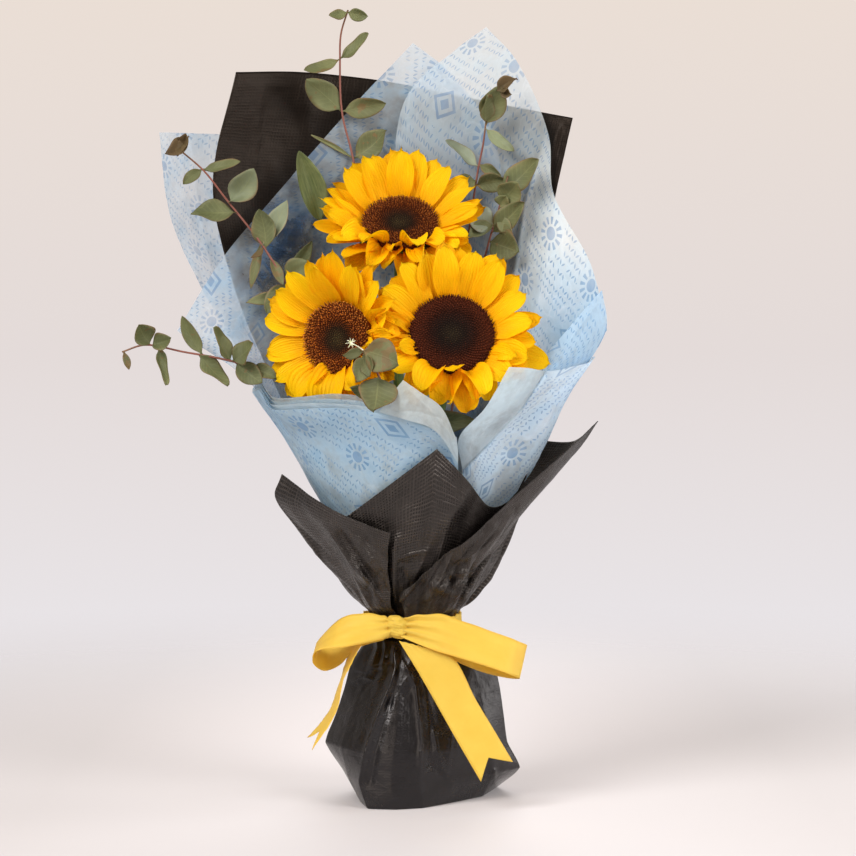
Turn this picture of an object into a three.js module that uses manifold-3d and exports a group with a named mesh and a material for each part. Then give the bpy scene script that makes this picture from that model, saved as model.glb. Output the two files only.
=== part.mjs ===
// A bunch of three sunflowers with eucalyptus, wrapped in pale tissue and a dark
// embossed sheet, tied at the waist with a ribbon and standing on its wrapped foot.
// Millimetres, +Z up, origin at the middle of the flat underside of the foot.
import * as THREE from "three";
import { mergeVertices } from "three/addons/utils/BufferGeometryUtils.js";
import Module from "manifold-3d";

// ---------------------------------------------------------------- driving dimensions
const SCALE = 0.72; // mm per unit of the front-elevation layout, at depth 0
const EYE = [0, -1706, 324]; // the layout's viewpoint
const AIM = [0, 0, 267.6]; // the point it is centred on
const MID = 428; // layout centre, both ways

const WAIST_X = -11.5; // where the tie pulls everything in
const WAIST_Z = 134; // top of the gathered neck
const NECK_Z = 118.6; // its lower end, where the foot's neck takes over
const WAIST_SQUASH = 0.9; // depth over width of the waist

const PAPER = 0.8; // wall of the dark sheets
const TISSUE = 0.7; // wall of the tissue sheets, several leaves thick
const RIBBON = 0.8;
const RIBBON_WIDTH = 27;

const STEM_R = 4.4; // sunflower stem
const TWIG_R = 1.7; // eucalyptus stem
const TWIG_TIP_R = 0.9;
const LEAF_T = 0.7;

const DISC_R = [27.5, 26, 30]; // the three seed discs
const HEAD_R = [57, 55, 58]; // and their petals' reach
const PETAL_T = 0.8;
const PETALS = 20; // cut into the rim of each head's corolla

const FOOT_WALL = 1.2;
const FOOT_H = 117.4;

// ---------------------------------------------------------------- small vector helpers
const add = (a, b) => [a[0] + b[0], a[1] + b[1], a[2] + b[2]];
const sub = (a, b) => [a[0] - b[0], a[1] - b[1], a[2] - b[2]];
const mul = (a, k) => [a[0] * k, a[1] * k, a[2] * k];
const dot = (a, b) => a[0] * b[0] + a[1] * b[1] + a[2] * b[2];
const cross = (a, b) => [a[1] * b[2] - a[2] * b[1], a[2] * b[0] - a[0] * b[2], a[0] * b[1] - a[1] * b[0]];
const len = (a) => Math.hypot(a[0], a[1], a[2]);
const unit = (a) => mul(a, 1 / (len(a) || 1));
const rad = (d) => (d * Math.PI) / 180;
const noise = (n) => {
  const s = Math.sin(n * 127.1 + 11.7) * 43758.5453;
  return (s - Math.floor(s)) * 2 - 1;
};

// A point of the front elevation (across, down) at a depth behind the waist plane.
const FWD = unit(sub(AIM, EYE));
const RIGHT = [1, 0, 0];
const UP = cross(RIGHT, FWD);
const FOCAL = len(sub(AIM, EYE)) / SCALE;
function P(px, py, y) {
  const ray = add(add(mul(FWD, FOCAL), mul(RIGHT, px - MID)), mul(UP, MID - py));
  return add(EYE, mul(ray, (y - EYE[1]) / ray[1]));
}
const L = (...pts) => pts.map((p) => P(...p));
// A row round the waist: radius and two angles, 0 = right, 90 = back, -90 = front.
function waist(r, a0, a1, n, z = WAIST_Z) {
  const row = [];
  for (let i = 0; i < n; i++) {
    const a = rad(a0 + ((a1 - a0) * i) / (n - 1));
    row.push([WAIST_X + r * Math.cos(a), r * WAIST_SQUASH * Math.sin(a), z]);
  }
  return row;
}

// The gathered neck of a sheet: the same arc at the top and the bottom of the tie.
const neck = (r, a0, a1, n) => [waist(r, a0, a1, n), waist(r, a0, a1, n, NECK_Z)];

// ---------------------------------------------------------------- surfaces
function spline(pts, t) {
  const n = pts.length;
  if (n === 1) return pts[0];
  const x = Math.min(Math.max(t, 0), 1) * (n - 1);
  const i = Math.min(Math.floor(x), n - 2);
  const f = x - i;
  const b = pts[i];
  const c = pts[i + 1];
  const a = i > 0 ? pts[i - 1] : sub(mul(b, 2), c);
  const d = i < n - 2 ? pts[i + 2] : sub(mul(c, 2), b);
  // tangents weighted by the root of each chord, so that short spans don't overshoot
  const k0 = Math.sqrt(len(sub(b, a))) || 1, k1 = Math.sqrt(len(sub(c, b))) || 1, k2 = Math.sqrt(len(sub(d, c))) || 1;
  const h00 = 2 * f * f * f - 3 * f * f + 1, h10 = f * f * f - 2 * f * f + f, h01 = 3 * f * f - 2 * f * f * f, h11 = f * f * f - f * f;
  return b.map((_, k) => {
    const m1 = ((b[k] - a[k]) / k0 - (c[k] - a[k]) / (k0 + k1) + (c[k] - b[k]) / k1) * k1;
    const m2 = ((c[k] - b[k]) / k1 - (d[k] - b[k]) / (k1 + k2) + (d[k] - c[k]) / k2) * k1;
    return h00 * b[k] + h10 * m1 + h01 * c[k] + h11 * m2;
  });
}
function cagePoint(cage, u, v) {
  return spline(
    cage.map((row) => spline(row, u)),
    v,
  );
}
function indexed(verts, tris) {
  const g = new THREE.BufferGeometry();
  g.setAttribute("position", new THREE.Float32BufferAttribute(verts.flat(), 3));
  g.setIndex(tris.flat());
  return g;
}
function signedVolume(verts, tris) {
  let v = 0;
  for (const [a, b, c] of tris) v += dot(verts[a], cross(verts[b], verts[c]));
  return v / 6;
}
function outward(verts, tris) {
  return indexed(verts, signedVolume(verts, tris) < 0 ? tris.map(([a, b, c]) => [a, c, b]) : tris);
}
// A thin closed sheet over a grid of points, thickened along its normals.
function thickGrid(grid, t) {
  const nv = grid.length;
  const nu = grid[0].length;
  const verts = [];
  const id = (s, i, j) => s * nu * nv + i * nu + j;
  const normals = grid.map((row, i) =>
    row.map((_, j) => {
      const du = sub(grid[i][Math.min(j + 1, nu - 1)], grid[i][Math.max(j - 1, 0)]);
      const dv = sub(grid[Math.min(i + 1, nv - 1)][j], grid[Math.max(i - 1, 0)][j]);
      return unit(cross(du, dv));
    }),
  );
  for (const s of [0.5, -0.5]) for (let i = 0; i < nv; i++) for (let j = 0; j < nu; j++) verts.push(add(grid[i][j], mul(normals[i][j], s * t)));
  const tris = [];
  for (let i = 0; i < nv - 1; i++) {
    for (let j = 0; j < nu - 1; j++) {
      const a = id(0, i, j), b = id(0, i, j + 1), c = id(0, i + 1, j + 1), d = id(0, i + 1, j);
      tris.push([a, b, c], [a, c, d]);
      const e = id(1, i, j), f = id(1, i, j + 1), g = id(1, i + 1, j + 1), h = id(1, i + 1, j);
      tris.push([e, g, f], [e, h, g]);
    }
  }
  const wall = (i0, j0, i1, j1) => {
    const a = id(0, i0, j0), b = id(0, i1, j1), c = id(1, i1, j1), d = id(1, i0, j0);
    tris.push([a, c, b], [a, d, c]);
  };
  for (let j = 0; j < nu - 1; j++) {
    wall(0, j, 0, j + 1);
    wall(nv - 1, j + 1, nv - 1, j);
  }
  for (let i = 0; i < nv - 1; i++) {
    wall(i + 1, 0, i, 0);
    wall(i, nu - 1, i + 1, nu - 1);
  }
  return [verts, tris];
}
function sheet(cage, nu, nv, t) {
  const grid = [];
  for (let i = 0; i < nv; i++) {
    const row = [];
    for (let j = 0; j < nu; j++) row.push(cagePoint(cage, j / (nu - 1), i / (nv - 1)));
    grid.push(row);
  }
  return outward(...thickGrid(grid, t));
}
// A tube of round section along points, with its own radius at each end.
function tube(pts, r0, r1, sides, steps) {
  const path = [];
  for (let i = 0; i <= steps; i++) path.push(spline(pts, i / steps));
  const verts = [];
  const tris = [];
  let n = unit(cross(unit(sub(path[1], path[0])), [0.2, 1, 0.1]));
  for (let i = 0; i <= steps; i++) {
    const d = unit(sub(path[Math.min(i + 1, steps)], path[Math.max(i - 1, 0)]));
    n = unit(sub(n, mul(d, dot(n, d))));
    const b = cross(d, n);
    const r = r0 + ((r1 - r0) * i) / steps;
    for (let k = 0; k < sides; k++) {
      const a = (2 * Math.PI * k) / sides;
      verts.push(add(path[i], add(mul(n, r * Math.cos(a)), mul(b, r * Math.sin(a)))));
    }
  }
  for (let i = 0; i < steps; i++)
    for (let k = 0; k < sides; k++) {
      const a = i * sides + k, b = i * sides + ((k + 1) % sides), c = b + sides, d = a + sides;
      tris.push([a, b, c], [a, c, d]);
    }
  const s = verts.length;
  verts.push(path[0], path[steps]);
  for (let k = 0; k < sides; k++) {
    tris.push([s, (k + 1) % sides, k]);
    tris.push([s + 1, steps * sides + k, steps * sides + ((k + 1) % sides)]);
  }
  return outward(verts, tris);
}
const wasm = await Module();
wasm.setup();
function solid(g) {
  let m = g.clone();
  for (const k of Object.keys(m.attributes)) if (k !== "position") m.deleteAttribute(k);
  m = mergeVertices(m, 1e-4);
  return new wasm.Manifold(
    new wasm.Mesh({ numProp: 3, vertProperties: new Float32Array(m.attributes.position.array), triVerts: new Uint32Array(m.index.array) }),
  );
}
function geometry(man) {
  const m = man.getMesh();
  const g = new THREE.BufferGeometry();
  g.setAttribute("position", new THREE.Float32BufferAttribute(Array.from(m.vertProperties), 3));
  g.setIndex(Array.from(m.triVerts));
  return g;
}
const join = (geoms) => geometry(geoms.map(solid).reduce((a, b) => a.add(b)));

// ---------------------------------------------------------------- finishes
const bunch = new THREE.Group();
const FINISH = {
  wrap: [0x2e2a2b, 0.5],
  tissue: [0xbcd3e6, 0.8],
  ribbon: [0xfcd357, 0.55],
  petal: [0xffb800, 0.6],
  disc: [0x3a1a12, 0.9],
  green: [0x5f7a35, 0.7],
  leaf: [0x7b8461, 0.65],
  twig: [0x8f5a4c, 0.7],
  band: [0xb98a5a, 0.6],
};
function put(name, geom, finish) {
  const [color, roughness] = FINISH[finish];
  const mesh = new THREE.Mesh(geom, new THREE.MeshStandardMaterial({ color, roughness, metalness: 0, side: THREE.DoubleSide }));
  mesh.name = name;
  bunch.add(mesh);
}

// ---------------------------------------------------------------- sunflower heads
// Each head has its own frame: X across, Y up the face, Z out of the face.
const HEADS = [
  { name: "top", at: P(400, 223, 20), tilt: 47, turn: 0, reach: HEAD_R[0], disc: DISC_R[0] },
  { name: "left", at: P(338, 339, -40), tilt: 2, turn: -25, reach: HEAD_R[1], disc: DISC_R[1] },
  { name: "right", at: P(452, 334, -50), tilt: 26, turn: 4, reach: HEAD_R[2], disc: DISC_R[2] },
];
for (const h of HEADS) {
  const t = rad(h.tilt), s = rad(h.turn);
  h.n = unit([Math.sin(s) * Math.cos(t), -Math.cos(s) * Math.cos(t), Math.sin(t)]);
  h.y = unit(sub([0, 0, 1], mul(h.n, h.n[2])));
  h.x = cross(h.y, h.n);
  h.put = (p) => add(h.at, add(mul(h.x, p[0]), add(mul(h.y, p[1]), mul(h.n, p[2]))));
}
const place = (h, verts) => verts.map(h.put);
function lathe(profile, sides, h) {
  const verts = [], tris = [];
  const top = 0;
  verts.push([0, 0, profile[0][1]]);
  for (const [r, z] of profile.slice(1, -1)) for (let k = 0; k < sides; k++) {
    const a = (2 * Math.PI * k) / sides;
    verts.push([r * Math.cos(a), r * Math.sin(a), z]);
  }
  verts.push([0, 0, profile.at(-1)[1]]);
  const rings = profile.length - 2;
  for (let k = 0; k < sides; k++) {
    const n = (k + 1) % sides;
    tris.push([top, 1 + k, 1 + n]);
    for (let i = 0; i < rings - 1; i++) {
      const a = 1 + i * sides + k, b = 1 + i * sides + n, c = b + sides, d = a + sides;
      tris.push([a, d, c], [a, c, b]);
    }
    const e = 1 + (rings - 1) * sides;
    tris.push([verts.length - 1, e + n, e + k]);
  }
  return outward(place(h, verts), tris);
}
// The petals of one head: a ring round the disc whose rim is cut into petals, each
// crowned along its middle, rising by `lift` and turning in by `curl` at its side.
function corolla(h, lift, curl, reach, rOut) {
  const seg = PETALS * 2;
  const rows = 3;
  const inner = h.disc + 0.5;
  const mid = [];
  for (let i = 0; i <= rows; i++) {
    const row = [];
    for (let k = 0; k < seg; k++) {
      const a = (2 * Math.PI * k) / seg;
      const deg = (k * 360) / seg;
      const tip = k % 2 === 0;
      const f = i / rows;
      const full = (rOut(deg) - inner) * (tip ? 1 : 0.66) * (1 + 0.05 * noise(k + h.disc));
      const l = lift(deg) + (tip ? 4 : -4);
      const c = curl(deg);
      // walk along the petal, its slope changing from lift to lift + curl
      let r = inner, z = -2.5;
      const steps = 8;
      for (let q = 0; q < Math.round(steps * f); q++) {
        const sl = rad(l + (c * q) / steps);
        r += (full / steps) * Math.cos(sl);
        z += (full / steps) * Math.sin(sl);
      }
      row.push([r * Math.cos(a), r * Math.sin(a), z + (i > 0 && tip ? 0.8 : 0)]);
    }
    mid.push(row);
  }
  const verts = [], tris = [];
  const id = (s, i, k) => s * (rows + 1) * seg + i * seg + (k % seg);
  const nor = mid.map((row, i) =>
    row.map((_, k) => {
      const du = sub(row[(k + 1) % seg], row[(k + seg - 1) % seg]);
      const dv = sub(mid[Math.min(i + 1, rows)][k], mid[Math.max(i - 1, 0)][k]);
      return unit(cross(dv, du));
    }),
  );
  for (const s of [0.5, -0.5]) for (let i = 0; i <= rows; i++) for (let k = 0; k < seg; k++) {
    const t = i === 0 ? 2.4 : PETAL_T;
    verts.push(i === 0 ? add(mid[i][k], [0, 0, s * t]) : add(mid[i][k], mul(nor[i][k], s * t)));
  }
  for (let k = 0; k < seg; k++) {
    for (let i = 0; i < rows; i++) {
      const a = id(0, i, k), b = id(0, i, k + 1), c = id(0, i + 1, k + 1), d = id(0, i + 1, k);
      tris.push([a, d, c], [a, c, b]);
      const e = id(1, i, k), f = id(1, i, k + 1), g = id(1, i + 1, k + 1), l = id(1, i + 1, k);
      tris.push([e, g, l], [e, f, g]);
    }
    tris.push([id(0, 0, k), id(0, 0, k + 1), id(1, 0, k + 1)], [id(0, 0, k), id(1, 0, k + 1), id(1, 0, k)]);
    tris.push([id(0, rows, k + 1), id(0, rows, k), id(1, rows, k)], [id(0, rows, k + 1), id(1, rows, k), id(1, rows, k + 1)]);
  }
  return outward(place(h, verts), tris);
}
// angle 0 = right, 90 = up the face, 270 = down the face
const near = (deg, c, w) => Math.exp(-(((((deg - c + 540) % 360) - 180) / w) ** 2));
const LIFT = [
  (d) => 18 + 26 * near(d, 90, 75) + 4 * near(d, 270, 45),
  (d) => 10 + 6 * near(d, 90, 50) - 16 * near(d, 0, 40),
  (d) => 12 + 14 * near(d, 90, 60) - 6 * near(d, 270, 60),
];
const CURL = [(d) => -10 + 0 * d, (d) => -22 + 14 * near(d, 180, 60), (d) => -18 - 20 * near(d, 270, 50)];
const REACH = [
  (d) => HEAD_R[0] + 2 * near(d, 90, 40) - 16 * near(d, 270, 50),
  (d) => HEAD_R[1] - 17 * near(d, 0, 38),
  (d) => HEAD_R[2] - 11 * near(d, 180, 42) + 7 * near(d, 350, 12),
];
// The green cup behind the petals, its rim cut into pointed bracts.
function calyx(h) {
  const sides = 24;
  const prof = [
    [5.5, -17],
    [14, -15.5],
    [h.disc - 3, -11],
  ];
  const verts = [[0, 0, -17.4]];
  const tris = [];
  for (const [r, z] of prof) for (let k = 0; k < sides; k++) {
    const a = (2 * Math.PI * k) / sides;
    verts.push([r * Math.cos(a), r * Math.sin(a), z]);
  }
  for (let k = 0; k < sides; k++) {
    const a = (2 * Math.PI * k) / sides;
    const r = h.disc + (k % 2 ? 0 : 9);
    verts.push([r * Math.cos(a), r * Math.sin(a), k % 2 ? -8.6 : -9.6]);
  }
  for (let k = 0; k < sides; k++) {
    const a = (2 * Math.PI * k) / sides;
    const r = h.disc - 0.5 + (k % 2 ? 0 : 8.5);
    verts.push([r * Math.cos(a), r * Math.sin(a), k % 2 ? -7.4 : -8.7]);
  }
  verts.push([0, 0, -7.4]);
  const rings = 5;
  for (let k = 0; k < sides; k++) {
    const n = (k + 1) % sides;
    tris.push([0, 1 + k, 1 + n]);
    for (let i = 0; i < rings - 1; i++) {
      const a = 1 + i * sides + k, b = 1 + i * sides + n;
      tris.push([a, a + sides, b + sides], [a, b + sides, b]);
    }
    tris.push([verts.length - 1, 1 + (rings - 1) * sides + n, 1 + (rings - 1) * sides + k]);
  }
  return outward(place(h, verts), tris);
}
// Where each stem passes the tie, by its angle and distance from the bundle's middle.
// Below the tie the whole bundle spreads and turns as one, so the stems stay clear.
const BUNDLE_TURN = 50;
const BUNDLE_SPREAD = 1.6;
const FOOT_SHIFT = 13;
const tie = (a, r) => [r * Math.cos(rad(a)), r * WAIST_SQUASH * Math.sin(rad(a))];
function below(a, r, z) {
  const [x, y] = tie(a, r);
  const t = (WAIST_Z - z) / WAIST_Z;
  const c = Math.cos(rad(BUNDLE_TURN)), q = Math.sin(rad(BUNDLE_TURN));
  const fx = BUNDLE_SPREAD * (c * x - q * y), fy = BUNDLE_SPREAD * (q * x + c * y);
  return [WAIST_X + x + (fx - x) * t + FOOT_SHIFT * t, y + (fy - y) * t, z];
}
const through = (a, r, end) => [below(a, r, WAIST_Z), below(a, r, 90), below(a, r, 45), below(a, r, end)];
HEADS.forEach((h, i) => {
  const d = h.disc;
  put(`sunflower_${h.name}_disc`, lathe([[0, -6.2], [d - 6, -6.2], [d - 0.2, -4.6], [d, 0], [d - 3, 3.4], [d * 0.55, 4.6], [0, 3.2]], 20, h), "disc");
  put(`sunflower_${h.name}_petals`, corolla(h, LIFT[i], CURL[i], h.reach, REACH[i]), "petal");
  put(`sunflower_${h.name}_calyx`, calyx(h), "green");
});
// Stems run from under each head, through the tie and on to the foot.
const STEMS = [
  [h0(-18.6), h0(-30, [0, -3, 0]), P(398, 330, 26), P(402, 470, 12), ...through(80, 7, 2.2)],
  [h1(-18.6), h1(-32, [2, -6, 0]), P(372, 420, -14), P(394, 520, -9), ...through(200, 7, 2.2)],
  [h2(-18.9), h2(-30, [0, -2, 0]), P(438, 420, -16), P(420, 520, -10), ...through(320, 7, 2.2)],
];
function at(i, z, o = [0, 0, 0]) {
  return HEADS[i].put([o[0], o[1], z]);
}
function h0(z, o) { return at(0, z, o); }
function h1(z, o) { return at(1, z, o); }
function h2(z, o) { return at(2, z, o); }
HEADS.forEach((h, i) => put(`sunflower_${h.name}_stem`, tube(STEMS[i], STEM_R - 0.6, STEM_R, 8, 18), "green"));


// ---------------------------------------------------------------- dark embossed wrap
// The tall back sheet: a half pipe behind everything, opening out towards its top edge.
const WRAP_BACK = [
  L([236, 72, 48], [300, 72, 72], [377, 80, 86], [450, 94, 88], [515, 107, 72], [573, 118, 48]),
  L([213, 184, 40], [280, 190, 66], [360, 195, 81], [430, 195, 84], [500, 195, 71], [556, 193, 48]),
  L([236, 290, 30], [290, 300, 57], [355, 300, 72], [425, 300, 75], [490, 300, 63], [540, 290, 40]),
  L([290, 415, 18], [322, 420, 40], [370, 420, 54], [422, 420, 57], [468, 420, 47], [504, 415, 26]),
  L([336, 520, 6], [352, 520, 25], [384, 520, 37], [422, 520, 39], [456, 520, 30], [480, 515, 11]),
  ...neck(25.6, 182, -2, 6),
];
// The short collar round the lower half: a pointed flap in front, and a left and a
// right wing whose corners stand out and which lap over each other behind.
const WRAP_FLAP = [
  L([347, 516, -52], [392, 483, -66], [437, 449, -80], [465, 478, -72], [490, 507, -56], [512, 500, -42], [530, 470, -24]),
  L([358, 545, -46], [393, 528, -57], [430, 515, -66], [462, 522, -58], [484, 532, -44], [500, 528, -32], [511, 515, -18]),
  L([370, 578, -36], [394, 572, -43], [420, 568, -47], [446, 568, -40], [462, 568, -32], [476, 562, -24], [488, 550, -12]),
  ...neck(27.6, 225, 345, 7),
];
const WRAP_LEFT = [
  L([391, 533, -64], [355, 520, -60], [318, 501, -48], [281, 474, -20], [305, 507, 20], [356, 490, 56], [420, 470, 68]),
  L([389, 545, -60], [354, 533, -55], [316, 517, -42], [275, 498, -14], [303, 517, 22], [356, 502, 54], [420, 490, 62]),
  L([388, 566, -52], [358, 560, -46], [335, 551, -32], [312, 545, -6], [326, 546, 24], [362, 535, 49], [412, 530, 56]),
  L([390, 590, -42], [368, 588, -36], [353, 584, -22], [346.5, 588, -2], [354, 587, 20], [380, 582, 35], [412, 580, 40]),
  L([391, 607, -37], [376, 606, -31.5], [366, 605, -18], [362.5, 605, -1], [367, 604, 16], [384, 602, 29], [412, 600, 34]),
  ...neck(30.5, 252, 86, 7),
];
const WRAP_RIGHT = [
  L([399, 594, -42], [428, 571, -52], [455, 549, -60], [490, 519, -60], [522, 490, -52], [560, 457, -38], [598, 421, -14], [574, 441, 12], [530, 440, 40], [480, 444, 63], [400, 450, 79]),
  L([400, 600, -40], [428, 582, -47], [454, 564, -53], [486, 540, -52], [514, 516, -44], [546, 486, -30], [576, 453, -10], [556, 463, 14], [520, 464, 39], [474, 470, 60], [405, 478, 74]),
  L([402, 606, -37], [427, 595, -41], [450, 582, -45], [474, 566, -43], [496, 547, -35], [514, 524, -22], [528, 503, -4], [516, 505, 15], [494, 506, 34], [462, 508, 52], [410, 514, 64]),
  L([404, 611, -34.5], [424, 604, -36.5], [444, 597, -37], [460, 589, -33], [473, 579, -26], [484, 572, -15], [492.5, 570, 0], [486, 570, 14], [474, 569, 27], [452, 570, 39], [412, 572, 48]),
  L([404.5, 621, -29.6], [422, 617, -29.9], [438, 613, -30.0], [450, 609, -27.5], [459, 606, -20], [464, 604, -10], [467, 603, 1], [464, 603, 13], [456, 603, 23], [438, 604, 32], [412, 606, 37]),
  ...neck(32.2, 256, 448, 11),
];
put("wrap_back_sheet", sheet(WRAP_BACK, 9, 9, PAPER), "wrap");
put("wrap_front_flap", sheet(WRAP_FLAP, 11, 6, PAPER), "wrap");
put("wrap_left_wing", sheet(WRAP_LEFT, 12, 7, PAPER), "wrap");
put("wrap_right_wing", sheet(WRAP_RIGHT, 16, 7, PAPER), "wrap");

// ---------------------------------------------------------------- tissue
// Two square sheets stand behind the flowers with a corner up; their side corners
// come forward, and more sheets cross over in front.
const TISSUE_BACK_LEFT = [
  L([413, 43, 70], [342, 118, 58], [273, 198, 40], [224, 256, 20], [177, 331, -12]),
  L([452, 75, 73], [385, 145, 69], [320, 215, 52], [262, 285, 26], [206, 350, -12]),
  L([496, 145, 63], [430, 205, 69], [350, 262, 56], [290, 320, 28], [243, 376, -12]),
  L([498, 290, 54], [435, 320, 61], [352, 340, 50], [303, 370, 25], [265, 402, -12]),
  L([466, 465, 34], [424, 470, 43], [378, 470, 37], [346, 472, 17], [318, 478, -8]),
  ...neck(21.1, 60, 185, 5),
];
const TISSUE_BACK_RIGHT = [
  L([486, 27, 56], [516, 60, 54], [548, 134, 47], [553, 193, 40], [590, 262, 18], [607, 330, 2]),
  L([455, 50, 62], [486, 92, 60], [522, 165, 53], [534, 220, 43], [562, 290, 22], [592, 350, 3]),
  L([405, 100, 64], [440, 165, 62], [488, 220, 56], [506, 270, 46], [533, 330, 24], [556, 385, 4]),
  L([395, 270, 56], [430, 290, 56], [468, 320, 49], [487, 350, 37], [511, 390, 18], [529, 430, 4]),
  L([402, 440, 32], [424, 445, 32], [446, 455, 28], [462, 465, 22], [478, 475, 12], [489, 490, 3]),
  ...neck(18.8, 100, -8, 6),
];
const TISSUE_OUTER_LEFT = [
  L([160, 132, 56], [189, 133, 72], [240, 136, 89], [300, 150, 100]),
  L([170, 215, 44], [200, 222, 60], [250, 230, 78], [305, 240, 92]),
  L([200, 284, 33], [232, 295, 50], [275, 305, 67], [320, 315, 82]),
  L([268, 400, 16], [292, 410, 35], [322, 420, 50], [352, 425, 61]),
  L([330, 520, 1], [342, 525, 17], [358, 530, 31], [378, 530, 41]),
  ...neck(27.7, 186, 105, 4),
];
const TISSUE_FRONT_LEFT = [
  L([252, 392, -7], [259.5, 391, -26], [272, 409, -52], [302, 409, -72], [339, 408, -82], [379, 413, -84], [426, 427, -82], [457, 441, -76]),
  L([280, 432, -6], [285, 432, -24], [300, 438, -44], [325, 440, -60], [355, 441, -70], [390, 445, -74], [428, 450, -72], [458, 458, -68]),
  L([311, 487, -4], [314, 487, -20], [326, 492, -35], [345, 495, -46], [368, 497, -54], [396, 499, -57], [428, 499, -56], [456, 500, -50]),
  L([344, 545, 0], [345, 545, -14], [353, 548, -23], [366, 550, -31], [382, 551, -35], [402, 552, -38], [426, 552, -37], [448, 550, -33]),
  ...neck(23.2, 184, 318, 8),
];
const TISSUE_LAPEL = [
  L([403, 380, -92], [420, 392, -95], [441, 407, -93], [456, 438, -79]),
  L([391, 395, -88], [413, 405, -91], [438, 418, -88], [458, 450, -74]),
  L([379, 412, -84.5], [406, 420, -86], [434, 430, -83], [458, 464, -68.8]),
];
const TISSUE_FRONT_RIGHT = [
  L([509, 367, -74], [528, 368, -77], [547, 371, -76], [572, 367, -58], [590, 362, -34], [595, 357, -12], [590, 357, 6]),
  L([485, 408, -80], [504, 409, -81], [522, 408, -75], [544, 402, -57], [562, 402, -34], [568, 398, -13], [560, 398, 6]),
  L([459, 438, -72], [477, 442, -74], [492, 441, -70], [516, 437, -53], [542, 440, -31], [550, 436, -12], [543, 437, 8]),
  L([462, 476, -58], [472, 477, -58], [484, 478, -55], [500, 478, -44], [520, 480, -26], [529, 477, -10], [520, 478, 6]),
  L([444, 545, -30], [452, 545, -30], [460, 545, -29], [468, 543, -23], [476, 541, -13], [480, 540, -4], [480, 540, 1]),
  ...neck(20.9, 292, 357, 7),
];
const TISSUE_POCKET = [
  L([602, 290, -6], [582, 312, -18], [562, 336, -29], [543, 357, -38]),
  L([606, 328, -8], [588, 342, -22], [567, 356, -36], [543, 370, -48]),
  L([588, 362, -10], [570, 376, -24], [550, 388, -38], [528, 398, -50]),
  L([556, 405, -9], [542, 412, -20], [526, 418, -32], [508, 424, -42]),
];
put("tissue_back_left", sheet(TISSUE_BACK_LEFT, 9, 9, TISSUE), "tissue");
put("tissue_back_right", sheet(TISSUE_BACK_RIGHT, 9, 9, TISSUE), "tissue");
put("tissue_outer_left", sheet(TISSUE_OUTER_LEFT, 6, 9, TISSUE), "tissue");
put("tissue_front_left", sheet(TISSUE_FRONT_LEFT, 11, 7, TISSUE), "tissue");
put("tissue_lapel", sheet(TISSUE_LAPEL, 6, 4, TISSUE), "tissue");
put("tissue_front_right", sheet(TISSUE_FRONT_RIGHT, 11, 8, TISSUE), "tissue");
put("tissue_pocket", sheet(TISSUE_POCKET, 6, 5, TISSUE), "tissue");

// ---------------------------------------------------------------- wrapped foot
// A flat-bottomed bag round the stem ends, gathered into the tie above.
// Each level: height, then twelve corners of its outline from the left front round to the left.
const FOOT = [
  [0, [[-43, -43], [-23, -46], [-3.5, -40], [17, -20], [40, 5], [52, 43], [40, 47], [10, 47], [-20, 47], [-42, 38], [-50, 5], [-48, -22]]],
  [20, [[-48.5, -41], [-26, -45.5], [-5.6, -42], [17, -30], [47, -9], [67, 12], [56, 42], [15, 50], [-25, 50], [-58, 34], [-61.5, 2], [-57, -22]]],
  [40, [[-44.5, -42], [-24, -45], [-4, -41.5], [21, -32], [46, -14], [57.5, 4], [52, 34], [16, 48], [-28, 48], [-64, 30], [-74.6, 2], [-62, -20]]],
  [60, [[-38.8, -40], [-22, -41.5], [-5.6, -38.5], [20, -31], [42, -15], [54.8, 1], [48, 28], [16, 43], [-28, 43], [-58, 26], [-67, 2], [-56, -18]]],
  [80, [[-30, -37], [-20, -37.5], [-9, -35], [15.5, -30], [38, -15], [52, 0], [45, 24], [14, 38], [-26, 38], [-51, 24], [-60.6, 0], [-48, -18]]],
  [98, [[-23, -34], [-18.5, -34], [-12.6, -33.5], [8.5, -28], [31, -15], [47.5, 0], [39, 20], [10, 32], [-24, 32], [-47, 20], [-56, 0], [-42, -17]]],
  [110, [[-24, -30], [-19, -28], [-13, -30], [4, -26.5], [22, -14], [33, 0], [26, 17], [4, 28], [-22, 28], [-39, 17], [-48, 0], [-36, -17]]],
  [FOOT_H, [247, 258, 268, 292, 325, 0, 38, 65, 112, 145, 180, 218].map((d) => [WAIST_X + 31.5 * Math.cos(rad(d)), 28.4 * Math.sin(rad(d))])],
];
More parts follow.
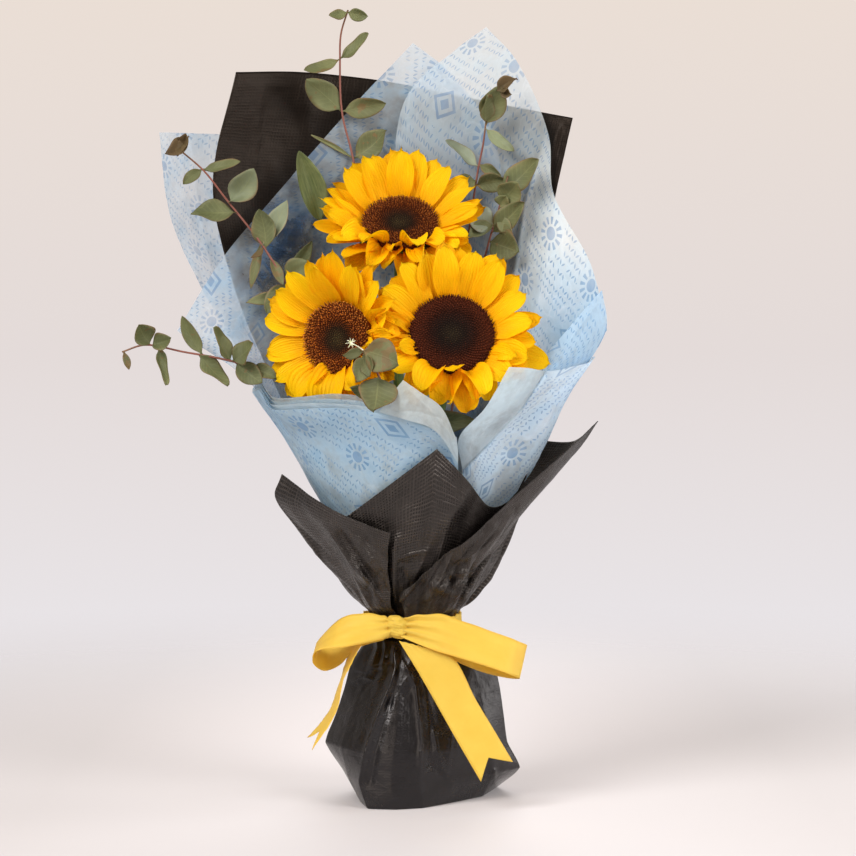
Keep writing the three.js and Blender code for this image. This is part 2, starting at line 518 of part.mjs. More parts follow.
// One level's outline with a point between each two corners, drawn in by `inset`.
function footRing([z, corners], inset) {
  const n = corners.length;
  const ring = [];
  corners.forEach((p, i) => {
    const q = corners[(i + 1) % n];
    const o = corners[(i + n - 1) % n];
    const r = corners[(i + 2) % n];
    ring.push(p);
    ring.push([0, 1].map((k) => (p[k] + q[k]) / 2 + (p[k] + q[k] - o[k] - r[k]) * 0.02));
  });
  return ring.map((p, i) => {
    const o = ring[(i + ring.length - 1) % ring.length];
    const q = ring[(i + 1) % ring.length];
    const a = unit([p[0] - o[0], p[1] - o[1], 0]), b = unit([q[0] - p[0], q[1] - p[1], 0]);
    const m = unit([-(a[1] + b[1]), a[0] + b[0], 0]);
    const k = inset / Math.max(m[0] * -a[1] + m[1] * a[0], 0.6);
    return [p[0] + m[0] * k, p[1] + m[1] * k, z];
  });
}
function footShell() {
  const sides = FOOT[0][1].length * 2;
  const verts = [], tris = [], rings = [];
  const push = (ring) => {
    rings.push(verts.length);
    verts.push(...ring);
  };
  FOOT.forEach((lv) => push(footRing(lv, 0)));
  [...FOOT].reverse().forEach((lv, i) => {
    const last = i === FOOT.length - 1;
    const z = last ? FOOT_WALL : lv[0];
    push(footRing([z, lv[1]], FOOT_WALL));
  });
  for (let i = 0; i < rings.length - 1; i++)
    for (let k = 0; k < sides; k++) {
      const a = rings[i] + k, b = rings[i] + ((k + 1) % sides), c = rings[i + 1] + ((k + 1) % sides), d = rings[i + 1] + k;
      tris.push([a, b, c], [a, c, d]);
    }
  const under = verts.length;
  verts.push([2, 0, 0], [2, 0, FOOT_WALL]);
  for (let k = 0; k < sides; k++) {
    const n = (k + 1) % sides;
    tris.push([under, rings[0] + n, rings[0] + k]);
    tris.push([under + 1, rings.at(-1) + k, rings.at(-1) + n]);
  }
  return outward(verts, tris);
}
put("wrap_foot", footShell(), "wrap");

// ---------------------------------------------------------------- tie
// The rubber band round the stems, under the sheets.
function hoop(rx, ry, cx, z0, z1, wall, sides) {
  const verts = [], tris = [];
  for (const [r, z] of [[0, z0], [0, z1], [-wall, z1], [-wall, z0]])
    for (let k = 0; k < sides; k++) {
      const a = (2 * Math.PI * k) / sides;
      verts.push([cx + (rx + r) * Math.cos(a), (ry + r) * Math.sin(a), z]);
    }
  for (let i = 0; i < 4; i++)
    for (let k = 0; k < sides; k++) {
      const n = (k + 1) % sides, j = (i + 1) % 4;
      tris.push([i * sides + k, i * sides + n, j * sides + n], [i * sides + k, j * sides + n, j * sides + k]);
    }
  return outward(verts, tris);
}
put("stem_band", hoop(16.6, 15.1, WAIST_X, 124, 128, 1, 24), "band");
put("ribbon_band", hoop(35.4, 32.5, WAIST_X, 116.8, 133, 1.2, 32), "ribbon");

// The bow: a knot on the front of the band, two loops and two tails.
const KNOT = P(397, 627.5, -38);
const knot = new THREE.SphereGeometry(1, 12, 8);
knot.scale(7.6, 6.2, 8.4).translate(...KNOT);
put("ribbon_knot", knot, "ribbon");
// A strip along a line of (top edge, bottom edge) pairs.
function strip(pairs, nv, t = RIBBON) {
  const grid = [];
  for (let i = 0; i < nv; i++) {
    const f = i / (nv - 1);
    grid.push([spline(pairs.map((p) => p[0]), f), spline(pairs.map((p) => p[1]), f)]);
  }
  return outward(...thickGrid(grid, t));
}
const E = (a, b) => [P(...a), P(...b)];
put(
  "ribbon_loop_left",
  strip([E([379, 614.5, -41], [381, 639.5, -46]), E([366, 613, -40], [364, 643.5, -50]), E([343, 617, -37], [345, 647, -54]), E([327, 630, -33], [328, 648, -53]), E([317, 643, -24], [315, 652, -47]), E([318, 646, -15], [313, 663, -38]), E([328, 643, -10], [325, 671, -30]), E([342, 637, -12], [340, 665, -28]), E([360, 628, -24], [356, 649, -35]), E([379, 625, -33], [380, 641, -38])], 22),
  "ribbon",
);
put(
  "ribbon_loop_right",
  strip([E([415, 615.5, -41.5], [412, 640, -44]), E([439, 614, -43], [433, 650, -48]), E([463, 621, -43], [456, 657, -52]), E([497, 633, -42], [492, 668, -55]), E([518, 641, -40], [511, 675, -54]), E([527, 645, -33], [519.5, 678.5, -46]), E([520, 643, -25], [508, 678, -38]), E([497, 636, -23], [486, 673, -35]), E([470, 630, -27], [460, 663, -38]), E([438, 624, -36], [436, 650, -40]), E([418, 622.5, -37.6], [417, 642, -39.6])], 22),
  "ribbon",
);
put(
  "ribbon_tail_right",
  strip([E([420, 646, -45], [399, 641, -46]), E([452, 657, -46], [418, 672, -50]), E([476, 700, -50], [443, 716, -55]), E([494, 730, -54], [460, 746, -59]), E([513, 762, -55], [481, 782, -62])], 10),
  "ribbon",
);
put(
  "ribbon_tail_left",
  strip([E([350, 659, -27], [358, 658, -48]), E([345, 664, -28], [353, 660, -50]), E([338, 688, -30], [344, 681, -53]), E([329, 710, -32], [337, 707, -55]), E([318.6, 726, -33], [329, 725, -57]), E([307, 737, -34], [312, 750, -58])], 10),
  "ribbon",
);

// ---------------------------------------------------------------- greenery
// A leaf from its base to its tip, as wide as w, facing along n, bowed by sag.
function leaf(base, tip, w, n, sag = 0.12, point = 0.35) {
  const axis = sub(tip, base);
  const l = len(axis);
  const side = unit(cross(unit(axis), n));
  const face = unit(cross(side, unit(axis)));
  const steps = 4;
  const grid = [];
  for (let i = 0; i <= steps; i++) {
    const f = i / steps;
    const half = (w / 2) * Math.max(0.1, Math.pow(Math.sin(Math.PI * Math.pow(f * 0.94 + 0.03, 1 - point * 0.6)), 0.62));
    const c = add(add(base, mul(axis, f)), mul(face, -sag * l * Math.sin(Math.PI * f)));
    grid.push([-1, 0, 1].map((k) => add(add(c, mul(side, k * half)), mul(face, Math.abs(k) * half * 0.22))));
  }
  return outward(...thickGrid(grid, LEAF_T));
}
const F = [0, -1, 0.15];
// A sprig: a twig with its leaves, each from the nearest point of the twig.
function onTwig(pts, p) {
  let best = pts[0], d = Infinity;
  for (let i = 0; i <= 300; i++) {
    const q = spline(pts, i / 300);
    const e = len(sub(q, p));
    if (e < d) [d, best] = [e, q];
  }
  return best;
}
function sprig(pts, leaves, steps = 26, r0 = TWIG_TIP_R, r1 = TWIG_R) {
  return join([tube(pts, r0, r1, 5, steps), ...leaves.map(([b, t, w]) => leaf(onTwig(pts, P(...b)), P(...t), w * SCALE, F))]);
}
const SPRIGS = {
  eucalyptus_top: {
    pts: [P(348, 10, 40), P(341, 34, 46), P(340, 60, 50), P(342, 112, 53), P(353, 158, 55), P(362, 215, 56), P(380, 330, 44), P(398, 470, 27), ...through(122, 13.4, 2.6)],
    leaves: [
      [[347, 13, 40], [329, 15, 34], 11], [[347, 13, 40], [368, 16, 38], 13],
      [[340, 60, 50], [368, 33, 42], 17], [[340, 60, 50], [304, 70, 42], 14],
      [[342, 111, 53], [306, 80, 42], 29], [[342, 112, 53], [386, 103, 45], 21],
      [[353, 158, 55], [311, 135, 46], 5], [[353, 158, 55], [386, 130, 46], 28],
    ],
  },
  eucalyptus_right: {
    pts: [P(486, 122, 44), P(483, 145, 47), P(478, 170, 50), P(466, 250, 48), P(448, 350, 36), P(430, 470, 22), ...through(38, 13.4, 2.6)],
    leaves: [
      [[485, 125, 44], [500, 86, 38], 27], [[484, 128, 44], [514, 151, 40], 13], [[479, 167, 50], [446, 140, 40], 16],
      [[486, 182, 50], [453, 184, 40], 19], [[478, 165, 50], [501, 176, 40], 12], [[476, 186, 50], [508, 181, 40], 20],
      [[486, 124, 44], [489, 94, 37], 16],
    ],
  },
  eucalyptus_right_low: {
    pts: [P(508, 176, 34), P(500, 205, 36), P(488, 245, 36), P(468, 330, 28), P(442, 470, 12), ...through(2, 13.4, 2.6)],
    leaves: [
      [[502, 193, 34], [538, 159, 26], 27], [[478, 197, 35], [518, 183, 24], 27], [[495, 233, 35], [524, 202, 26], 24],
      [[481, 240, 36], [518, 252, 27], 33], [[497, 230, 36], [468, 210, 27], 28], [[490, 222, 36], [468, 236, 26], 15],
      [[492, 205, 36], [506, 196, 30], 16], [[500, 218, 35], [512, 236, 29], 14],
    ],
  },
  eucalyptus_left: {
    pts: [P(180, 150, 10), P(204, 171, 12), P(226, 199, 13), P(260, 242, 14), P(290, 290, 14), P(336, 380, 14), P(378, 490, 8), ...through(158, 13.4, 2.6)],
    leaves: [
      [[180, 150, 10], [189, 134, 6], 10],
      [[203, 170, 12], [183, 184, 6], 12], [[203, 170, 12], [240, 161, 6], 13],
      [[227, 202, 13], [254, 169, 7], 27], [[240, 208, 13], [191, 213, 7], 24], [[279, 240, 14], [259, 209, 8], 24],
      [[257, 246, 14], [251, 290, 8], 10], [[281, 281, 14], [309, 262, 8], 25], [[278, 304, 14], [246, 303, 8], 13],
      [[300, 278, 14], [267, 314, 2], 18], [[262, 246, 14], [252, 262, 6], 7], [[318, 212, 24], [287, 200, 18], 20],
      [[345, 256, 16], [312, 241, 10], 16], [[265, 262, 12], [283, 285, 6], 10],
    ],
  },
  eucalyptus_left_low: {
    pts: [P(122, 352, -26), P(145, 345, -25), P(184, 352, -24), P(222, 359, -22), P(262, 371, -18), P(318, 410, -12), P(372, 510, -10), ...through(238, 13.4, 2.6)],
    leaves: [
      [[123, 352, -26], [131, 371, -30], 7], [[150, 346, -25], [136, 325, -32], 20], [[150, 346, -25], [171, 338, -30], 17],
      [[158, 348, -24], [167, 385, -30], 12], [[203, 355, -23], [182, 316, -29], 14], [[198, 355, -23], [229, 385, -29], 21],
      [[232, 361, -21], [211, 328, -27], 17], [[232, 361, -21], [253, 343, -30], 25], [[234, 362, -21], [262, 383, -27], 22],
      [[252, 367, -19], [276, 378, -26], 16],
    ],
  },
  eucalyptus_front: {
    pts: [P(362, 350, -88), P(371, 361, -86), P(380, 379, -82), P(389, 412, -72), P(400, 500, -36), ...through(280, 13.4, 2.6)],
    leaves: [
      [[363, 349, -88], [398, 364, -97], 33], [[364, 351, -88], [343, 355, -95], 11], [[380, 376, -85], [373, 410, -99], 30],
      [[368, 355, -86], [356, 382, -94], 19], [[364, 352, -86], [370, 377, -92], 14], [[396, 440, -60], [459, 416, -52], 15],
    ],
  },
};
for (const [name, s] of Object.entries(SPRIGS)) put(name, sprig(s.pts, s.leaves), "leaf");
put("sunflower_leaf", leaf(P(322, 228, 40), P(300, 152, 30), 26, [0.3, -1, 0.1], 0.1), "green");

export default bunch;
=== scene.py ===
# A hand-tied bunch of three sunflowers with eucalyptus, wrapped in pale tissue and a dark embossed
# sheet and tied with a satin ribbon. Lengths are in millimetres until a mesh is made.
import math
import numpy as np
import bpy
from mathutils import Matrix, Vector


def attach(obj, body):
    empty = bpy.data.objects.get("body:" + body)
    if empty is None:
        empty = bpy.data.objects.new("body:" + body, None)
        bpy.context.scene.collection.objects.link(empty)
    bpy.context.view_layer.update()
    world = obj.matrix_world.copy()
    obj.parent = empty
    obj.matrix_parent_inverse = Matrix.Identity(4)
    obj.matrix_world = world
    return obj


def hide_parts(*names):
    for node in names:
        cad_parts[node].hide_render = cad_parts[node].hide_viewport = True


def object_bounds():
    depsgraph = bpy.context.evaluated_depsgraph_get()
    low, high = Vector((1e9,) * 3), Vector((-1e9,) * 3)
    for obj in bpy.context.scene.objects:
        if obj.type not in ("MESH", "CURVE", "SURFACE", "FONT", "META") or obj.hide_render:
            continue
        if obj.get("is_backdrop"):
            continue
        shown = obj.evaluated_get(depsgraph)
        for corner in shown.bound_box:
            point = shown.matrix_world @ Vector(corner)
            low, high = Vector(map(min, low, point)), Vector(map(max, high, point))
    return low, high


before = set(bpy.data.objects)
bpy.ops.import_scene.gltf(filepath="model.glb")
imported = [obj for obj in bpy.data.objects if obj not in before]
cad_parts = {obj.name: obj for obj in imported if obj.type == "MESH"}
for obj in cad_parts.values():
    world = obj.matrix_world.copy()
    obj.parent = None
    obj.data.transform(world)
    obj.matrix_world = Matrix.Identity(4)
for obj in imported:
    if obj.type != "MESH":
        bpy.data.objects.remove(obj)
CAD_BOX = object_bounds()

# ------------------------------------------------------------------ layout of the front elevation
SCALE = 0.72
EYE = np.array([0.0, -1706.0, 324.0])
AIM = np.array([0.0, 0.0, 267.6])
MID = 428.0
WAIST_X, WAIST_Z, NECK_Z, SQUASH = -11.5, 134.0, 118.6, 0.9
_d = AIM - EYE
FWD = _d / np.linalg.norm(_d)
RIGHT = np.array([1.0, 0, 0])
UP = np.cross(RIGHT, FWD)
FOCAL = np.linalg.norm(_d) / SCALE


def P(px, py, y):
    ray = FWD * FOCAL + RIGHT * (px - MID) + UP * (MID - py)
    return EYE + ray * ((y - EYE[1]) / ray[1])


def L(*pts):
    return np.array([P(*p) for p in pts])


def project(v):
    d = v - EYE
    z = d @ FWD
    return MID + FOCAL * (d @ RIGHT) / z, MID - FOCAL * (d @ UP) / z


def waist(r, a0, a1, n, z=WAIST_Z):
    a = np.radians(np.linspace(a0, a1, n))
    return np.stack([WAIST_X + r * np.cos(a), r * SQUASH * np.sin(a), np.full(n, z)], -1)


def neck(r, a0, a1, n):
    return [waist(r, a0, a1, n), waist(r, a0, a1, n, NECK_Z)]


# ------------------------------------------------------------------ noise
def _hash(ix, iy, iz, seed):
    n = (ix * 374761393 + iy * 668265263 + iz * 2147483647 + seed * 1274126177) & 0xFFFFFFFF
    n = ((n ^ (n >> 13)) * 1274126177) & 0xFFFFFFFF
    n = (n ^ (n >> 16)) & 0xFFFF
    return n / 32767.5 - 1.0


def vnoise(p, seed=0):
    p = np.asarray(p, float)
    i = np.floor(p).astype(np.int64)
    f = p - i
    f = f * f * f * (f * (f * 6 - 15) + 10)
    x, y, z = i[..., 0], i[..., 1], i[..., 2]
    out = 0
    for dx in (0, 1):
        wx = f[..., 0] if dx else 1 - f[..., 0]
        for dy in (0, 1):
            wy = f[..., 1] if dy else 1 - f[..., 1]
            for dz in (0, 1):
                wz = f[..., 2] if dz else 1 - f[..., 2]
                out = out + wx * wy * wz * _hash(x + dx, y + dy, z + dz, seed)
    return out


def fbm(p, octaves=4, gain=0.5, seed=0, ridged=False):
    p = np.asarray(p, float)
    out, amp, tot = 0, 1.0, 0.0
    for k in range(octaves):
        n = vnoise(p * 2.03**k, seed + k * 17)
        if ridged:
            n = 1 - 2 * np.abs(n)
        out = out + amp * n
        tot += amp
        amp *= gain
    return out / tot


def n3(a, b, c=0.0):
    a, b, c = np.broadcast_arrays(np.asarray(a, float), np.asarray(b, float), np.asarray(c, float))
    return np.stack([a, b, c], -1)


def smooth(x, a=0.0, b=1.0):
    t = np.clip((np.asarray(x, float) - a) / (b - a), 0, 1)
    return t * t * (3 - 2 * t)


# ------------------------------------------------------------------ surfaces
def spl(pts, ts):
    pts = np.asarray(pts, float)
    n = len(pts)
    ts = np.atleast_1d(ts)
    x = np.clip(ts, 0, 1) * (n - 1)
    i = np.minimum(x.astype(int), n - 2)
    f = (x - i).reshape((-1,) + (1,) * (pts.ndim - 1))
    ext = np.concatenate([2 * pts[:1] - pts[1:2], pts, 2 * pts[-1:] - pts[-2:-1]])
    a, b, c, d = ext[i], ext[i + 1], ext[i + 2], ext[i + 3]

    def k(q):
        return np.maximum(np.sqrt(np.linalg.norm(q, axis=-1, keepdims=True)), 1e-6)

    k0, k1, k2 = k(b - a), k(c - b), k(d - c)
    m1 = ((b - a) / k0 - (c - a) / (k0 + k1) + (c - b) / k1) * k1
    m2 = ((c - b) / k1 - (d - b) / (k1 + k2) + (d - c) / k2) * k1
    return (2 * f**3 - 3 * f**2 + 1) * b + (f**3 - 2 * f**2 + f) * m1 + (3 * f**2 - 2 * f**3) * c + (f**3 - f**2) * m2


def surf(cage, nu, nv, us=None, vs=None):
    us = np.linspace(0, 1, nu) if us is None else us
    vs = np.linspace(0, 1, nv) if vs is None else vs
    rows = np.stack([spl(r, us) for r in cage])
    return spl(rows, vs)


def grid_normals(V, wrap=False):
    if wrap:
        du = np.roll(V, -1, 1) - np.roll(V, 1, 1)
    else:
        du = np.gradient(V, axis=1)
    dv = np.gradient(V, axis=0)
    n = np.cross(du, dv)
    return n / np.maximum(np.linalg.norm(n, axis=-1, keepdims=True), 1e-9)


def arc_uv(V):
    """UV in millimetres: across by the mean width of the widest rows, down by the mean length."""
    wid = np.linalg.norm(np.diff(V, axis=1), axis=-1).sum(1).max()
    lng = np.linalg.norm(np.diff(V, axis=0), axis=-1).mean(1)
    v = np.concatenate([[0], np.cumsum(lng)])
    u = np.linspace(0, 1, V.shape[1]) * wid
    return np.stack(np.meshgrid(u, v), -1)


def mesh_obj(name, verts, faces, uvs=None, attrs=None, smooth_shade=True):
    """verts in mm; faces a list of tuples or an (n,4)/(n,3) array; uvs per vertex."""
    me = bpy.data.meshes.new(name)
    me.from_pydata((np.asarray(verts) * 0.001).tolist(), [], [tuple(int(i) for i in f) for f in faces])
    if uvs is not None:
        lay = me.uv_layers.new(name="UVMap")
        idx = np.empty(len(me.loops), dtype=np.int32)
        me.loops.foreach_get("vertex_index", idx)
        lay.data.foreach_set("uv", np.asarray(uvs, np.float32)[idx].ravel())
    for key, vals in (attrs or {}).items():
        vals = np.asarray(vals, np.float32)
        if vals.ndim == 1:
            at = me.attributes.new(key, "FLOAT", "POINT")
            at.data.foreach_set("value", vals)
        else:
            at = me.attributes.new(key, "FLOAT_COLOR", "POINT")
            at.data.foreach_set("color", np.concatenate([vals, np.ones((len(vals), 1), np.float32)], 1).ravel())
    me.validate()
    me.update()
    if smooth_shade:
        me.polygons.foreach_set("use_smooth", [True] * len(me.polygons))
    ob = bpy.data.objects.new(name, me)
    bpy.context.scene.collection.objects.link(ob)
    return ob


def grid_faces(nv, nu, off=0, flip=False, wrap=False):
    cols = nu if wrap else nu - 1
    i, j = np.meshgrid(np.arange(nv - 1), np.arange(cols), indexing="ij")
    a = off + i * nu + j
    b = off + i * nu + (j + 1) % nu
    c = off + (i + 1) * nu + (j + 1) % nu
    d = off + (i + 1) * nu + j
    q = np.stack([a, b, c, d], -1).reshape(-1, 4)
    return q[:, ::-1] if flip else q


class Build:
    """Collects grids, tubes and small solids into one mesh."""

    def __init__(self):
        self.v, self.f, self.uv, self.at = [], [], [], {}
        self.n = 0

    def _push(self, verts, faces, uv, at):
        m = len(verts)
        self.v.append(verts)
        self.f.extend([tuple(int(i) + self.n for i in q) for q in faces])
        self.uv.append(uv if uv is not None else np.zeros((m, 2)))
        for k in set(self.at) | set(at):
            cur = self.at.setdefault(k, [])
            while sum(len(x) for x in cur) < self.n:
                cur.append(np.zeros(self.n - sum(len(x) for x in cur)))
            val = at.get(k, 0.0)
            cur.append(np.broadcast_to(np.asarray(val, float), (m,)).copy() if np.ndim(val) == 0 else np.asarray(val, float))
        self.n += m

    def open_grid(self, V, uv=None, **at):
        nv, nu = V.shape[:2]
        self._push(V.reshape(-1, 3), grid_faces(nv, nu), None if uv is None else uv.reshape(-1, 2), {k: (x.reshape(-1) if np.ndim(x) else x) for k, x in at.items()})

    def thick_grid(self, V, t, uv=None, flip=False, **at):
        """A closed thin leaf over a grid; attribute `side` is 1 on the +normal side."""
        nv, nu = V.shape[:2]
        N = grid_normals(V) * (-1 if flip else 1)
        t = np.asarray(t, float)
        th = (t if t.ndim == 0 else t[..., None]) * 0.5
        A, B = (V + N * th).reshape(-1, 3), (V - N * th).reshape(-1, 3)
        m = nu * nv
        f = [grid_faces(nv, nu, 0, flip=False), grid_faces(nv, nu, m, flip=True)]
        f = np.concatenate(f).tolist()
        top = list(range(nu))
        bot = list(range((nv - 1) * nu, nv * nu))
        lef = list(range(0, nv * nu, nu))
        rig = list(range(nu - 1, nv * nu, nu))
        for seq, rev in ((top, False), (rig, False), (bot[::-1], False), (lef[::-1], False)):
            for a, b in zip(seq[:-1], seq[1:]):
                f.append([b, a, a + m, b + m])
        if flip:
            f = [q[::-1] for q in f]
        at2 = {k: (np.concatenate([x.reshape(-1)] * 2) if np.ndim(x) else x) for k, x in at.items()}
        at2["side"] = np.concatenate([np.ones(m), np.zeros(m)])
        u2 = None if uv is None else np.concatenate([uv.reshape(-1, 2)] * 2)
        self._push(np.concatenate([A, B]), f, u2, at2)

    def tube(self, pts, radii, sides=10, steps=None, cap=True, **at):
        pts = np.asarray(pts, float)
        path = pts if steps is None else spl(pts, np.linspace(0, 1, steps))
        n = len(path)
        radii = np.interp(np.linspace(0, 1, n), np.linspace(0, 1, len(np.atleast_1d(radii))), np.atleast_1d(radii))
        d = np.gradient(path, axis=0)
        d /= np.maximum(np.linalg.norm(d, axis=1, keepdims=True), 1e-9)
        nrm = np.cross(d[0], [0.2, 1, 0.1])
        ang = np.linspace(0, 2 * math.pi, sides, endpoint=False)
        ring, uv = [], []
        s = np.concatenate([[0], np.cumsum(np.linalg.norm(np.diff(path, axis=0), axis=1))])
        for i in range(n):
            nrm = nrm - d[i] * np.dot(d[i], nrm)
            nrm /= np.linalg.norm(nrm)
            b = np.cross(d[i], nrm)
            ring.append(path[i] + radii[i] * (np.cos(ang)[:, None] * nrm + np.sin(ang)[:, None] * b))
            uv.append(np.stack([ang * radii[i], np.full(sides, s[i])], -1))
        V = np.concatenate(ring)
        f = grid_faces(n, sides, wrap=True).tolist()
        U = np.concatenate(uv)
        if cap:
            f.append(list(range(sides)))
            f.append(list(range((n - 1) * sides, n * sides))[::-1])
        # outward check
        c0 = path[0]
        q = f[0]
        nn = np.cross(V[q[1]] - V[q[0]], V[q[2]] - V[q[0]])
        if np.dot(nn, V[q[0]] - c0) < 0:
            f = [x[::-1] for x in f]
        at2 = {k: (np.repeat(x, sides) if np.ndim(x) else x) for k, x in at.items()}
        self._push(V, f, U, at2)
        return path

    def solid(self, verts, faces, uv=None, **at):
        self._push(np.asarray(verts, float), faces, uv, at)

    def make(self, name, smooth_shade=True):
        at = {k: np.concatenate(v) for k, v in self.at.items()}
        for k in at:
            if len(at[k]) < self.n:
                at[k] = np.concatenate([at[k], np.zeros(self.n - len(at[k]))])
        return mesh_obj(name, np.concatenate(self.v), self.f, np.concatenate(self.uv), at, smooth_shade)


def finish_piece(ob, mat, slot, *nodes):
    ob.data.materials.clear()
    ob.data.materials.append(mat)
    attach(ob, "root")
    if nodes:
        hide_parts(*nodes)
    return ob


# ------------------------------------------------------------------ materials
class Nodes:
    def __init__(self, name):
        self.mat = bpy.data.materials.new(name)
        self.mat.use_nodes = True
        self.t = self.mat.node_tree
        self.t.nodes.clear()
        self.out = self.t.nodes.new("ShaderNodeOutputMaterial")

    def n(self, kind, **props):
        nd = self.t.nodes.new(kind)
        for k, v in props.items():
            setattr(nd, k, v)
        return nd

    def link(self, a, b):
        self.t.links.new(a, b)

    def put(self, sock, v):
        if hasattr(v, "links") or isinstance(v, bpy.types.NodeSocket):
            self.link(v, sock)
        else:
            sock.default_value = v

    def math(self, op, a, b=0.0, c=None, clamp=False):
        nd = self.n("ShaderNodeMath", operation=op, use_clamp=clamp)
        self.put(nd.inputs[0], a)
        self.put(nd.inputs[1], b)
        if c is not None:
            self.put(nd.inputs[2], c)
        return nd.outputs[0]

    def vmath(self, op, a, b=(0, 0, 0), k=12.0):
        nd = self.n("ShaderNodeVectorMath", operation=op)
        self.put(nd.inputs[0], a)
        if op == "SCALE":
            nd.inputs["Scale"].default_value = k
        else:
            self.put(nd.inputs[1], b)
        return nd.outputs[0]

    def mix(self, f, a, b, blend="MIX"):
        nd = self.n("ShaderNodeMix", data_type="RGBA", blend_type=blend)
        self.put(nd.inputs[0], f)
        self.put(nd.inputs[6], a if not isinstance(a, tuple) else rgba(a))
        self.put(nd.inputs[7], b if not isinstance(b, tuple) else rgba(b))
        return nd.outputs[2]

    def ramp(self, f, *stops, interp="LINEAR"):
        nd = self.n("ShaderNodeValToRGB")
        nd.color_ramp.interpolation = interp
        el = nd.color_ramp.elements
        while len(el) > len(stops):
            el.remove(el[-1])
        while len(el) < len(stops):
            el.new(0.5)
        for e, (pos, col) in zip(el, stops):
            e.position = pos
            e.color = rgba(col) if not isinstance(col, (int, float)) else (col, col, col, 1)
        self.put(nd.inputs[0], f)
        return nd.outputs[0]

    def range(self, v, a, b, c, d):
        nd = self.n("ShaderNodeMapRange")
        self.put(nd.inputs[0], v)
        for i, x in enumerate((a, b, c, d)):
            nd.inputs[i + 1].default_value = x
        return nd.outputs[0]

    def uv(self):
        return self.n("ShaderNodeUVMap", uv_map="UVMap").outputs[0]

    def obj(self):
        return self.n("ShaderNodeTexCoord").outputs["Object"]

    def attr(self, name, fac=True):
        a = self.n("ShaderNodeAttribute", attribute_name=name)
        return a.outputs["Fac"] if fac else a.outputs["Color"]

    def noise(self, vec, scale, detail=3.0, rough=0.55, dist=0.0, fac=True):
        nd = self.n("ShaderNodeTexNoise")
        self.put(nd.inputs["Vector"], vec)
        nd.inputs["Scale"].default_value = scale
        nd.inputs["Detail"].default_value = detail
        nd.inputs["Roughness"].default_value = rough
        nd.inputs["Distortion"].default_value = dist
        return nd.outputs["Fac"] if fac else nd.outputs["Color"]

    def voronoi(self, vec, scale, feature="F1", out="Distance", rand=1.0):
        nd = self.n("ShaderNodeTexVoronoi", feature=feature)
        self.put(nd.inputs["Vector"], vec)
        nd.inputs["Scale"].default_value = scale
        nd.inputs["Randomness"].default_value = rand
        return nd.outputs[out]

    def sep(self, vec):
        nd = self.n("ShaderNodeSeparateXYZ")
        self.put(nd.inputs[0], vec)
        return nd.outputs

    def comb(self, x=0.0, y=0.0, z=0.0):
        nd = self.n("ShaderNodeCombineXYZ")
        for s, v in zip(nd.inputs, (x, y, z)):
            self.put(s, v)
        return nd.outputs[0]

    def bump(self, height, dist, strength=1.0, normal=None):
        nd = self.n("ShaderNodeBump")
        nd.inputs["Strength"].default_value = strength
        nd.inputs["Distance"].default_value = dist
        self.put(nd.inputs["Height"], height)
        if normal is not None:
            self.put(nd.inputs["Normal"], normal)
        return nd.outputs[0]

    def bsdf(self, **kw):
        nd = self.n("ShaderNodeBsdfPrincipled")
        for k, v in kw.items():
            self.put(nd.inputs[k.replace("_", " ")], rgba(v) if isinstance(v, tuple) and len(v) == 3 else v)
        return nd

    def done(self, shader):
        self.link(shader, self.out.inputs["Surface"])
        return self.mat


def rgba(c):
    return (c[0], c[1], c[2], c[3] if len(c) > 3 else 1.0)


def hexc(h):
    h = h.lstrip("#")
    out = []
    for i in (0, 2, 4):
        c = int(h[i : i + 2], 16) / 255
        out.append(c / 12.92 if c <= 0.04045 else ((c + 0.055) / 1.055) ** 2.4)
    return tuple(out)


def wave(N, x, pitch):
    """0..1 ridges across coordinate x, one per pitch millimetres."""
    return N.math("MULTIPLY_ADD", N.math("SINE", N.math("MULTIPLY", x, 2 * math.pi / pitch)), 0.5, 0.5)


